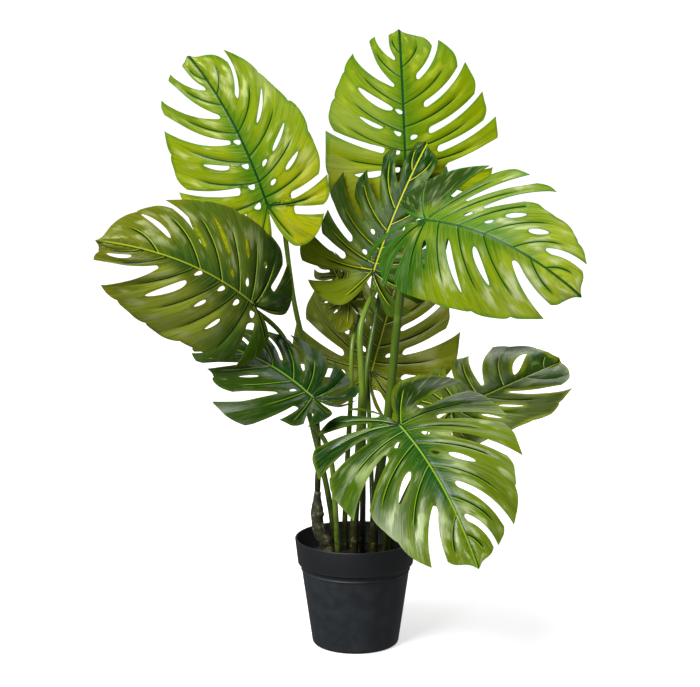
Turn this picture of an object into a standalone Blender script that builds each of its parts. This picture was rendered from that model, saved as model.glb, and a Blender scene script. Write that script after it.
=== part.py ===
"""Potted split-leaf monstera: ten cut leaves on long stems, standing in soil in a round plastic pot.

Metres, +Z up. The origin is the middle of the pot's flat underside, and a viewer stands towards -Y.
"""

import math
from collections import namedtuple

import bmesh
import bpy
import numpy as np
from mathutils import Vector
from mathutils.geometry import delaunay_2d_cdt

# Pot
POT_HEIGHT = 0.135
POT_RIM_RADIUS = 0.075
POT_BAND_HEIGHT = 0.032
POT_BAND_RADIUS = 0.0715
POT_NECK_RADIUS = 0.0665
POT_FOOT_RADIUS = 0.054
POT_FOOT_ROUND = 0.005
POT_WALL = 0.0025
POT_FLOOR = 0.003
POT_LIP = 0.0015
POT_RIDGE = 0.0012
POT_RIDGE_DROP = 0.006
POT_RIDGE_HEIGHT = 0.0025
POT_RIDGE_SLOPE = 0.001
POT_STEPS = 32

# Soil
SOIL_LEVEL = 0.110
SOIL_CROWN = 0.002
SOIL_STEPS = 24
CLEARANCE = 0.0003
HOLE_CLEARANCE = 0.000375
HOLE_RISE = 0.02
ROOT_DEPTH = 0.036

# Leaves
BLADE_THICKNESS = 0.001

# How the flat leaf is split into triangles, for a midrib of length 1
BLADE_SPACING = 0.084
ROW_STEP = 1.1
NEAREST = 0.62
SLIT_POINTS = 4

# How the lobes' ends rise and fall: the share of the vein from which they do, and how steeply
LIFT_SEED = 41
LIFT_START = 0.25
LIFT_POWER = 1.6
LIFT_LOBES = 9
HEEL_DEPTH = 0.09

# Half of a leaf's outline from the tip round to the stem, for a midrib of length 1: across, along
MARGIN = (
    (0.0, 1.0), (0.035, 0.972), (0.12, 0.952), (0.19, 0.915), (0.275, 0.84), (0.36, 0.71), (0.43, 0.55),
    (0.475, 0.37), (0.495, 0.20), (0.49, 0.05), (0.455, -0.10), (0.37, -0.215), (0.24, -0.275),
    (0.12, -0.265), (0.04, -0.16), (0.0, -0.03),
)

# A lobe, from the tip of the leaf to its stem. root: where its vein leaves the midrib, as a share of the
# midrib. mouth: where its side nearer the stem meets the outline, as a share of the outline. reach: its
# length against the outline's. notch: where the line of the cut on that side would leave the midrib. inner
# and outer: the ends of that cut, along its line. slack: the width of the cut at the margin, or of the
# whole slot where the cut is closed. hole: a small round hole beside the midrib, at this share of the
# cut's line.
Lobe = namedtuple("Lobe", "root mouth reach notch inner outer slack hole")

SMALL_LEFT = (
    Lobe(0.80, 0.055, 1.00, 0.72, 0.20, 0.80, 0.050, 0.0),
    Lobe(0.62, 0.130, 1.05, 0.53, 0.14, 0.70, 0.090, 0.0),
    Lobe(0.43, 0.234, 1.08, 0.38, 0.14, 0.70, 0.055, 0.06),
    Lobe(0.25, 0.325, 1.02, 0.24, 0.26, 0.58, 0.030, 0.08),
    Lobe(0.13, 0.430, 1.02, 0.13, 0.24, 0.74, 0.025, 0.10),
    Lobe(0.04, 0.580, 1.00, 0.04, 0.28, 0.64, 0.035, 0.12),
    Lobe(0.00, 1.000, 1.02, 0.0, 0.0, 0.0, 0.0, 0.0),
)
SMALL_RIGHT = (
    Lobe(0.69, 0.120, 1.00, 0.52, 0.34, 0.80, 0.036, 0.0),
    Lobe(0.43, 0.230, 1.10, 0.34, 0.36, 0.82, 0.036, 0.0),
    Lobe(0.28, 0.345, 1.00, 0.18, 0.36, 0.74, 0.034, 0.18),
    Lobe(0.13, 0.450, 1.07, 0.08, 0.44, 0.72, 0.034, 0.20),
    Lobe(0.04, 0.580, 1.00, 0.00, 0.40, 0.72, 0.045, 0.0),
    Lobe(0.00, 0.670, 1.02, 0.03, 0.46, 0.80, 0.050, 0.0),
    Lobe(0.00, 1.000, 0.90, 0.0, 0.0, 0.0, 0.0, 0.0),
)
LARGE_LEFT = (
    Lobe(0.80, 0.074, 1.00, 0.68, 0.14, 0.80, 0.030, 0.0),
    Lobe(0.56, 0.134, 0.95, 0.45, 0.18, 0.66, 0.065, 0.0),
    Lobe(0.34, 0.247, 1.00, 0.24, 0.24, 0.50, 0.044, 0.12),
    Lobe(0.16, 0.340, 0.94, 0.08, 0.37, 0.74, 0.080, 0.15),
    Lobe(0.05, 0.495, 1.04, 0.02, 0.36, 0.74, 0.080, 0.0),
    Lobe(0.00, 0.650, 1.05, 0.00, 0.34, 0.80, 0.080, 0.0),
    Lobe(0.00, 1.000, 1.02, 0.0, 0.0, 0.0, 0.0, 0.0),
)
LARGE_RIGHT = (
    Lobe(0.68, 0.098, 0.92, 0.49, 0.26, 0.80, 0.118, 0.0),
    Lobe(0.34, 0.235, 0.99, 0.25, 0.22, 0.57, 0.050, 0.0),
    Lobe(0.17, 0.374, 0.92, 0.09, 0.30, 0.78, 0.120, 0.15),
    Lobe(0.06, 0.570, 1.06, 0.01, 0.39, 0.84, 0.061, 0.0),
    Lobe(0.00, 0.700, 1.06, 0.00, 0.36, 0.80, 0.083, 0.0),
    Lobe(0.00, 0.820, 1.00, 0.00, 0.40, 0.80, 0.075, 0.0),
    Lobe(0.00, 1.000, 1.00, 0.0, 0.0, 0.0, 0.0, 0.0),
)

RIGHT_FAR = (
    Lobe(0.76, 0.085, 1.02, 0.62, 0.36, 0.80, 0.055, 0.0),
    Lobe(0.55, 0.145, 1.04, 0.46, 0.36, 0.60, 0.050, 0.0),
    Lobe(0.36, 0.210, 0.96, 0.28, 0.34, 0.54, 0.050, 0.18),
    Lobe(0.20, 0.285, 0.77, 0.14, 0.32, 0.74, 0.090, 0.18),
    Lobe(0.07, 0.390, 1.06, 0.03, 0.33, 0.74, 0.060, 0.0),
    Lobe(0.00, 0.520, 1.00, 0.00, 0.34, 0.80, 0.060, 0.0),
    Lobe(0.00, 1.000, 0.95, 0.0, 0.0, 0.0, 0.0, 0.0),
)
RIGHT_NEAR = (
    Lobe(0.66, 0.105, 0.90, 0.54, 0.18, 0.80, 0.115, 0.0),
    Lobe(0.36, 0.240, 1.01, 0.29, 0.17, 0.60, 0.050, 0.0),
    Lobe(0.20, 0.375, 1.03, 0.14, 0.16, 0.76, 0.044, 0.0),
    Lobe(0.08, 0.520, 1.00, 0.02, 0.22, 0.56, 0.030, 0.0),
    Lobe(0.00, 0.700, 0.95, 0.00, 0.46, 0.80, 0.050, 0.0),
    Lobe(0.00, 0.825, 1.00, 0.00, 0.40, 0.80, 0.050, 0.0),
    Lobe(0.00, 1.000, 1.36, 0.0, 0.0, 0.0, 0.0, 0.0),
)
LEFT_LOWER = (
    Lobe(0.74, 0.035, 1.00, 0.72, 0.34, 0.84, 0.036, 0.0),
    Lobe(0.60, 0.080, 1.06, 0.54, 0.26, 0.80, 0.110, 0.0),
    Lobe(0.43, 0.210, 1.04, 0.39, 0.20, 0.68, 0.055, 0.05),
    Lobe(0.25, 0.330, 1.00, 0.22, 0.26, 0.40, 0.026, 0.07),
    Lobe(0.13, 0.460, 0.96, 0.10, 0.34, 0.54, 0.026, 0.10),
    Lobe(0.04, 0.690, 0.80, 0.00, 0.22, 0.80, 0.060, 0.12),
    Lobe(0.00, 1.000, 0.84, 0.0, 0.0, 0.0, 0.0, 0.0),
)
LEFT_UPPER = (
    Lobe(0.66, 0.130, 1.00, 0.53, 0.34, 0.88, 0.044, 0.0),
    Lobe(0.40, 0.225, 0.97, 0.31, 0.32, 0.82, 0.040, 0.0),
    Lobe(0.25, 0.340, 1.02, 0.16, 0.36, 0.78, 0.040, 0.16),
    Lobe(0.12, 0.470, 1.02, 0.07, 0.46, 0.70, 0.030, 0.18),
    Lobe(0.03, 0.590, 1.00, 0.00, 0.54, 0.62, 0.034, 0.0),
    Lobe(0.00, 0.700, 1.02, 0.00, 0.46, 0.80, 0.040, 0.0),
    Lobe(0.00, 1.000, 1.02, 0.0, 0.0, 0.0, 0.0, 0.0),
)
MIDDLE_LEFT = (
    Lobe(0.74, 0.054, 1.04, 0.55, 0.25, 0.80, 0.080, 0.0),
    Lobe(0.44, 0.169, 0.95, 0.34, 0.33, 0.66, 0.120, 0.0),
    Lobe(0.28, 0.312, 0.86, 0.21, 0.38, 0.64, 0.045, 0.18),
    Lobe(0.14, 0.418, 1.14, 0.07, 0.40, 0.74, 0.070, 0.18),
    Lobe(0.04, 0.528, 0.94, 0.01, 0.42, 0.74, 0.070, 0.0),
    Lobe(0.00, 0.660, 1.20, 0.00, 0.37, 0.80, 0.110, 0.0),
    Lobe(0.00, 1.000, 1.05, 0.0, 0.0, 0.0, 0.0, 0.0),
)
LOW_NEAR = (
    Lobe(0.80, 0.074, 1.00, 0.68, 0.30, 0.80, 0.030, 0.0),
    Lobe(0.56, 0.200, 0.95, 0.43, 0.28, 0.66, 0.120, 0.0),
    Lobe(0.34, 0.300, 0.92, 0.24, 0.34, 0.62, 0.040, 0.0),
    Lobe(0.16, 0.430, 1.08, 0.08, 0.38, 0.74, 0.100, 0.15),
    Lobe(0.05, 0.598, 1.40, 0.01, 0.38, 0.74, 0.070, 0.0),
    Lobe(0.00, 0.705, 0.80, 0.00, 0.39, 0.80, 0.050, 0.0),
    Lobe(0.00, 1.000, 0.75, 0.0, 0.0, 0.0, 0.0, 0.0),
)
LOW_RIGHT_FAR = (
    Lobe(0.80, 0.100, 1.02, 0.50, 0.14, 0.78, 0.070, 0.0),
    Lobe(0.40, 0.300, 1.18, 0.27, 0.14, 0.66, 0.090, 0.0),
    Lobe(0.20, 0.392, 0.85, 0.08, 0.36, 0.64, 0.040, 0.0),
    Lobe(0.06, 0.500, 0.75, 0.02, 0.46, 0.74, 0.080, 0.0),
    Lobe(0.02, 0.600, 0.76, 0.00, 0.40, 0.74, 0.080, 0.0),
    Lobe(0.00, 0.720, 0.78, 0.00, 0.34, 0.80, 0.080, 0.0),
    Lobe(0.00, 1.000, 0.80, 0.0, 0.0, 0.0, 0.0, 0.0),
)
LOW_RIGHT_NEAR = (
    Lobe(0.60, 0.232, 0.95, 0.33, 0.16, 0.80, 0.145, 0.0),
    Lobe(0.22, 0.370, 1.12, 0.13, 0.36, 0.68, 0.045, 0.0),
    Lobe(0.10, 0.500, 1.18, 0.04, 0.40, 0.70, 0.040, 0.0),
    Lobe(0.03, 0.620, 1.10, 0.00, 0.40, 0.70, 0.040, 0.0),
    Lobe(0.00, 0.740, 1.00, 0.00, 0.40, 0.80, 0.060, 0.0),
    Lobe(0.00, 0.850, 1.00, 0.00, 0.40, 0.80, 0.060, 0.0),
    Lobe(0.00, 1.000, 1.00, 0.0, 0.0, 0.0, 0.0, 0.0),
)
TOP_RIGHT = (
    Lobe(0.69, 0.120, 0.98, 0.54, 0.26, 0.80, 0.036, 0.0),
    Lobe(0.43, 0.235, 1.02, 0.36, 0.26, 0.82, 0.036, 0.0),
    Lobe(0.28, 0.345, 1.04, 0.20, 0.27, 0.74, 0.034, 0.10),
    Lobe(0.13, 0.440, 1.04, 0.09, 0.35, 0.72, 0.040, 0.0),
    Lobe(0.05, 0.545, 1.10, 0.01, 0.44, 0.72, 0.170, 0.0),
    Lobe(0.00, 0.690, 1.02, 0.03, 0.46, 0.80, 0.050, 0.0),
    Lobe(0.00, 1.000, 1.02, 0.0, 0.0, 0.0, 0.0, 0.0),
)

# Cuts and small holes, for a midrib of length 1
SLIT_WIDTH = 0.044
WIDE_THROAT = 0.022
WIDE_MORE = 0.04
WIDE_GAIN = 1.3
HOLE_WIDTH = 0.030
HOLE_LENGTH = 0.045
OVAL_BLUNTNESS = 0.25

# How far the veins bow, and how much less they do towards the stem
VEIN_BOW = 0.24
BOW_FALL = 0.6

# What the corners of a lobe lose beside its cuts, as a share of its vein, and gain on the side of the tip
CORNER_ROUND = 0.15
CORNER_POINT = 0.03
WIDE_ROUND = 0.30
SCALLOP = 0.03

# A leaf. base: where its stem meets it. tip: the end of its midrib. face: the way its upper side looks.
# lobes: those of its left and right halves, seen from above with the tip away. cuts: for each half, whether
# each cut from the tip on is open to the margin, o, wide open, w, or a closed slot, s. width: of each half,
# against the outline. arch: how far the midrib bulges up. sway: how far it bulges to the right. heel: how
# far the lobes behind the stem turn up. fold: how far each half rises from the midrib, in degrees, and
# curl: how much further it has turned at the margin. lift: how far the lobes' ends rise and fall at random.
# sweep: how far each half's lobes lean towards the stem, less than 0, or the tip.
Leaf = namedtuple("Leaf", "base tip face lobes cuts width arch sway heel fold curl lift sweep",
                  defaults=((0.0, 0.0),))

SMALL = (SMALL_LEFT, SMALL_RIGHT)
LARGE = (LARGE_LEFT, LARGE_RIGHT)
LEAVES = {
    "leaf_upper_left": Leaf((-0.108, 0.030, 0.545), (-0.207, 0.102, 0.722), (-0.42, -0.88, 0.08),
                            SMALL, ("wwwsos", "osssoo"), (1.04, 0.82), 0.012, 0.016, -0.004,
                            (0, 4), (-4, -12), 0.004, (0.0, -0.25)),
    "leaf_top": Leaf((0.0637, 0.130, 0.574), (0.057, 0.250, 0.749), (0.0, -0.79, 0.61),
                     (SMALL_LEFT, TOP_RIGHT), ("wwssos", "oooooo"), (0.97, 1.05), 0.012, 0.0, -0.004,
                     (-4, -4), (-10, -4), 0.004, (-0.08, 0.0)),
    "leaf_right": Leaf((0.083, -0.050, 0.537), (0.260, -0.138, 0.4585), (-0.28, -0.88, 0.36),
                       (RIGHT_FAR, RIGHT_NEAR), ("osswww", "osssoo"), (0.97, 0.96), 0.022, -0.014, -0.006,
                       (-18, -20), (-10, -8), 0.006),
    "leaf_left": Leaf((-0.122, -0.035, 0.433), (-0.304, -0.090, 0.518), (-0.25, -0.86, 0.30),
                      (LEFT_LOWER, LEFT_UPPER), ("swssso", "sossso"), (1.10, 0.84), 0.020, 0.014, -0.006,
                      (-20, -8), (-22, -8), 0.005),
    "leaf_middle": Leaf((0.0215, 0.050, 0.461), (0.0900, 0.120, 0.613), (-0.30, -0.86, 0.40),
                        (MIDDLE_LEFT, LARGE_RIGHT), ("wwwooo", "oowooo"), (1.06, 0.84), 0.010, 0.0, 0.0,
                        (-2, -6), (-8, -10), 0.004),
    "leaf_behind": Leaf((0.0205, 0.135, 0.318), (0.0695, 0.285, 0.458), (0.05, -0.80, 0.60),
                        LARGE, ("oooooo", "oooooo"), (1.0, 0.94), 0.008, 0.0, 0.0,
                        (0, 0), (-6, -6), 0.004),
    "leaf_low_left": Leaf((-0.052, -0.020, 0.316), (-0.203, 0.100, 0.359), (-0.10, -0.20, 0.97),
                          (LOW_NEAR, LARGE_RIGHT), ("owswoo", "oooooo"), (0.72, 0.56), 0.020, 0.0, 0.030,
                          (-4, 14), (-30, -6), 0.005),
    "leaf_front": Leaf((0.053, -0.065, 0.2925), (0.141, -0.197, 0.152), (-0.16, -0.74, 0.64),
                       LARGE, ("oosooo", "osoooo"), (1.04, 1.06), 0.016, -0.008, 0.004,
                       (-2, 0), (-14, -6), 0.006),
    "leaf_low_right": Leaf((0.121, 0.060, 0.2825), (0.268, 0.190, 0.318), (-0.10, -0.46, 0.88),
                           (LOW_RIGHT_FAR, LOW_RIGHT_NEAR), ("swoooo", "wsssoo"), (1.10, 0.76),
                           0.012, 0.012, -0.030, (10, 4), (-24, -10), 0.006),
    "leaf_edge": Leaf((-0.008, 0.075, 0.4185), (-0.040, 0.155, 0.4715), (-0.50, -0.10, 0.80),
                      SMALL, ("ooosos", "ooosoo"), (0.90, 0.40), 0.008, 0.0, 0.0,
                      (-20, -8), (-30, -14), 0.003),
}

# A stem. route: its points from the soil up. foot, top: its radius at either end. leaf: the leaf it carries.
Stem = namedtuple("Stem", "route foot top leaf")
STEM_SEAT = 0.0012
STEM_LEAD = 0.028
STEM_LEAD_DOWN = 0.95
STEM_LEAD_BACK = 0.30
STEM_SIDES_RESOLUTION = 2
STEM_POINT_SPACING = 0.030
CANE_POINT_SPACING = 0.012
SHARP_ANGLE = 50
MERGE = 1e-5

STEMS = {
    "stem_upper_left": Stem(((-0.047, 0.004, 0.193), (-0.0468, 0.0045, 0.204), (-0.046, 0.020, 0.240),
                             (-0.0535, 0.066, 0.320), (-0.0755, 0.062, 0.415)),
                            0.0036, 0.0028, "leaf_upper_left"),
    "stem_top": Stem(((0.0085, 0.018, 0.0), (0.009, 0.024, 0.16), (0.012, 0.052, 0.314),
                      (0.030, 0.092, 0.42), (0.044, 0.120, 0.490)), 0.0040, 0.0026, "leaf_top"),
    "stem_right": Stem(((0.0216, 0.0, 0.0), (0.0240, -0.002, 0.168), (0.0397, -0.004, 0.291),
                        (0.0520, -0.006, 0.420), (0.062, -0.010, 0.480)), 0.0060, 0.0045, "leaf_right"),
    "stem_left": Stem(((-0.0225, 0.016, 0.0), (-0.030, 0.012, 0.16), (-0.044, 0.006, 0.235),
                       (-0.068, 0.052, 0.316), (-0.092, 0.064, 0.378)), 0.0040, 0.0026, "leaf_left"),
    "stem_middle": Stem(((-0.003, 0.0, 0.0), (-0.001, 0.002, 0.162), (0.0075, 0.014, 0.31),
                         (0.0065, 0.028, 0.395)), 0.0062, 0.0028, "leaf_middle"),
    "stem_behind": Stem(((0.0225, 0.030, 0.0), (0.022, 0.040, 0.14), (0.019, 0.092, 0.23)),
                        0.0034, 0.0026, "leaf_behind"),
    "stem_low_left": Stem(((-0.020, -0.014, 0.0), (-0.024, -0.012, 0.16), (-0.032, -0.010, 0.245)),
                          0.0040, 0.0026, "leaf_low_left"),
    "stem_front": Stem(((0.036, -0.012, 0.0), (0.037, -0.016, 0.15), (0.043, -0.024, 0.22)),
                       0.0036, 0.0028, "leaf_front"),
    "stem_low_right": Stem(((0.040, 0.012, 0.0), (0.046, 0.018, 0.14), (0.078, 0.038, 0.21)),
                           0.0034, 0.0026, "leaf_low_right"),
    "stem_edge": Stem(((-0.012, 0.026, 0.0), (-0.013, 0.032, 0.16), (-0.006, 0.050, 0.30),
                       (-0.004, 0.064, 0.365)), 0.0036, 0.0026, "leaf_edge"),
}

# The thick woody stem that the tallest leaf on the left grows from: points and the radius at each
CANE_ROUTE = (
    (-0.034, 0.004, 0.074, 0.0080), (-0.034, 0.004, 0.118, 0.0082), (-0.043, 0.004, 0.138, 0.0090),
    (-0.047, 0.004, 0.152, 0.0078), (-0.0475, 0.004, 0.168, 0.0080), (-0.0475, 0.004, 0.182, 0.0052),
    (-0.047, 0.004, 0.1915, 0.0044),
)

POT_FINISH = ("charcoal plastic", (0.018, 0.021, 0.025), 0.55)
SOIL_FINISH = ("dark soil", (0.010, 0.008, 0.007), 0.95)
STEM_FINISH = ("green stem", (0.09, 0.16, 0.04), 0.45)
CANE_FINISH = ("woody stem", (0.07, 0.065, 0.03), 0.7)
LEAF_GREEN = ("leaf green", (0.10, 0.24, 0.03), 0.35)
LEAF_LIME = ("young leaf lime", (0.28, 0.42, 0.01), 0.35)
LEAF_OLIVE = ("old leaf olive", (0.12, 0.18, 0.02), 0.35)
LEAF_FINISHES = {
    "leaf_upper_left": LEAF_LIME,
    "leaf_top": LEAF_LIME,
    "leaf_left": LEAF_OLIVE,
    "leaf_middle": LEAF_OLIVE,
    "leaf_behind": LEAF_OLIVE,
    "leaf_low_right": LEAF_OLIVE,
}


def clear_scene():
    for item in list(bpy.data.objects):
        bpy.data.objects.remove(item, do_unlink=True)


def collection(name):
    group = bpy.data.collections.new(name)
    bpy.context.scene.collection.children.link(group)
    return group


def material(finish):
    name, colour, roughness = finish
    found = bpy.data.materials.get(name)
    if found:
        return found
    made = bpy.data.materials.new(name)
    made.use_nodes = True
    shader = made.node_tree.nodes["Principled BSDF"]
    shader.inputs["Base Color"].default_value = (*colour, 1.0)
    shader.inputs["Roughness"].default_value = roughness
    shader.inputs["Metallic"].default_value = 0.0
    return made


def place(name, mesh, group, finish):
    """Put a mesh in the scene as a named piece with its material."""
    piece = bpy.data.objects.new(name, mesh)
    group.objects.link(piece)
    if finish:
        mesh.materials.clear()
        mesh.materials.append(material(finish))
    return piece


def smooth_path(points, spacing):
    """Points along a smooth curve through the given ones, any number of values each, about spacing apart."""
    knots = np.array(points, float)
    ends = np.vstack([2 * knots[0] - knots[1], knots, 2 * knots[-1] - knots[-2]])
    path = [knots[0]]
    for i in range(len(knots) - 1):
        before, start, end, after = ends[i:i + 4]
        parts = max(1, round(np.linalg.norm((end - start)[:3]) / spacing))
        for k in range(1, parts + 1):
            t = k / parts
            path.append(0.5 * (2 * start + (end - before) * t
                               + (2 * before - 5 * start + 4 * end - after) * t ** 2
                               + (3 * start - before - 3 * end + after) * t ** 3))
    return np.array(path)


def tube(name, path, radii, group, finish):
    """A closed round tube along a path, as a mesh piece."""
    curve = bpy.data.curves.new(name, "CURVE")
    curve.dimensions = "3D"
    curve.bevel_depth = 1.0
    curve.bevel_resolution = STEM_SIDES_RESOLUTION
    curve.use_fill_caps = True
    spline = curve.splines.new("POLY")
    spline.points.add(len(path) - 1)
    for point, where, radius in zip(spline.points, path, radii):
        point.co = (*where, 1.0)
        point.radius = radius
    guide = bpy.data.objects.new(name + "_guide", curve)
    group.objects.link(guide)
    evaluated = guide.evaluated_get(bpy.context.evaluated_depsgraph_get())
    mesh = bpy.data.meshes.new_from_object(evaluated)
    mesh.name = name
    bpy.data.objects.remove(guide, do_unlink=True)
    form = bmesh.new()
    form.from_mesh(mesh)
    bmesh.ops.remove_doubles(form, verts=form.verts, dist=MERGE)
    form.to_mesh(mesh)
    form.free()
    piece = place(name, mesh, group, finish)
    mesh.shade_smooth()
    mesh.set_sharp_from_angle(angle=math.radians(SHARP_ANGLE))
    return piece


def turned(name, profile, steps, group, finish):
    """A shape turned about Z from a profile of radius and height."""
    mesh = bpy.data.meshes.new(name)
    mesh.from_pydata([(r, 0.0, z) for r, z in profile], [(i, i + 1) for i in range(len(profile) - 1)], [])
    piece = place(name, mesh, group, finish)
    screw = piece.modifiers.new("turn", "SCREW")
    screw.axis = "Z"
    screw.steps = steps
    screw.render_steps = steps
    screw.use_merge_vertices = True
    screw.merge_threshold = MERGE
    screw.use_smooth_shade = True
    return piece


def inner_radius(height):
    """Inside radius of the pot below its band."""
    share = height / (POT_HEIGHT - POT_BAND_HEIGHT)
    return POT_FOOT_RADIUS - POT_WALL + share * (POT_NECK_RADIUS - POT_FOOT_RADIUS)


def build_pot(group):
    band_foot = POT_HEIGHT - POT_BAND_HEIGHT
    ridge = band_foot - POT_RIDGE_DROP
    foot_round = [
        (POT_FOOT_RADIUS - POT_FOOT_ROUND * (1 - math.cos(angle)), POT_FOOT_ROUND * (1 - math.sin(angle)))
        for angle in (0.0, math.pi / 4, math.pi / 2)
    ]
    outside = [
        (POT_RIM_RADIUS - POT_LIP, POT_HEIGHT),
        (POT_RIM_RADIUS, POT_HEIGHT - POT_LIP),
        (POT_BAND_RADIUS, band_foot),
        (POT_NECK_RADIUS + POT_RIDGE, ridge),
        (POT_NECK_RADIUS + POT_RIDGE, ridge - POT_RIDGE_HEIGHT),
        (POT_NECK_RADIUS, ridge - POT_RIDGE_HEIGHT - POT_RIDGE_SLOPE),
        *foot_round,
        (0.0, 0.0),
    ]
    inside = [
        (0.0, POT_FLOOR),
        (inner_radius(POT_FLOOR), POT_FLOOR),
        (inner_radius(ridge), ridge),
        (POT_BAND_RADIUS - POT_WALL, band_foot + POT_WALL),
        (POT_RIM_RADIUS - POT_WALL - POT_LIP / 2, POT_HEIGHT - POT_LIP),
        (POT_RIM_RADIUS - POT_LIP, POT_HEIGHT),
    ]
    return turned("pot", inside + outside[1:], POT_STEPS, group, POT_FINISH)


def build_soil(group):
    band_foot = POT_HEIGHT - POT_BAND_HEIGHT
    ridge = band_foot - POT_RIDGE_DROP
    bottom = POT_FLOOR + CLEARANCE
    side = 2 * CLEARANCE
    top = SOIL_LEVEL - SOIL_CROWN
    slope = (POT_RIM_RADIUS - POT_BAND_RADIUS) / (POT_BAND_HEIGHT - POT_WALL)
    top_radius = POT_BAND_RADIUS - POT_WALL + (top - band_foot - POT_WALL) * slope - side
    profile = [
        (0.0, SOIL_LEVEL),
        (0.5 * top_radius, SOIL_LEVEL - 0.3 * SOIL_CROWN),
        (top_radius, top),
        (POT_BAND_RADIUS - POT_WALL - side, band_foot + POT_WALL),
        (inner_radius(ridge) - side, ridge),
        (inner_radius(bottom) - side, bottom),
        (0.0, bottom),
    ]
    return turned("soil", profile, SOIL_STEPS, group, SOIL_FINISH)


def drill(piece, cutters):
    """Cut each cutter out of a piece."""
    for cutter in cutters:
        cut = piece.modifiers.new("hole for " + cutter.name, "BOOLEAN")
        cut.operation = "DIFFERENCE"
        cut.solver = "EXACT"
        cut.object = cutter
        cutter.hide_render = True
        cutter.display_type = "WIRE"


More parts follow.
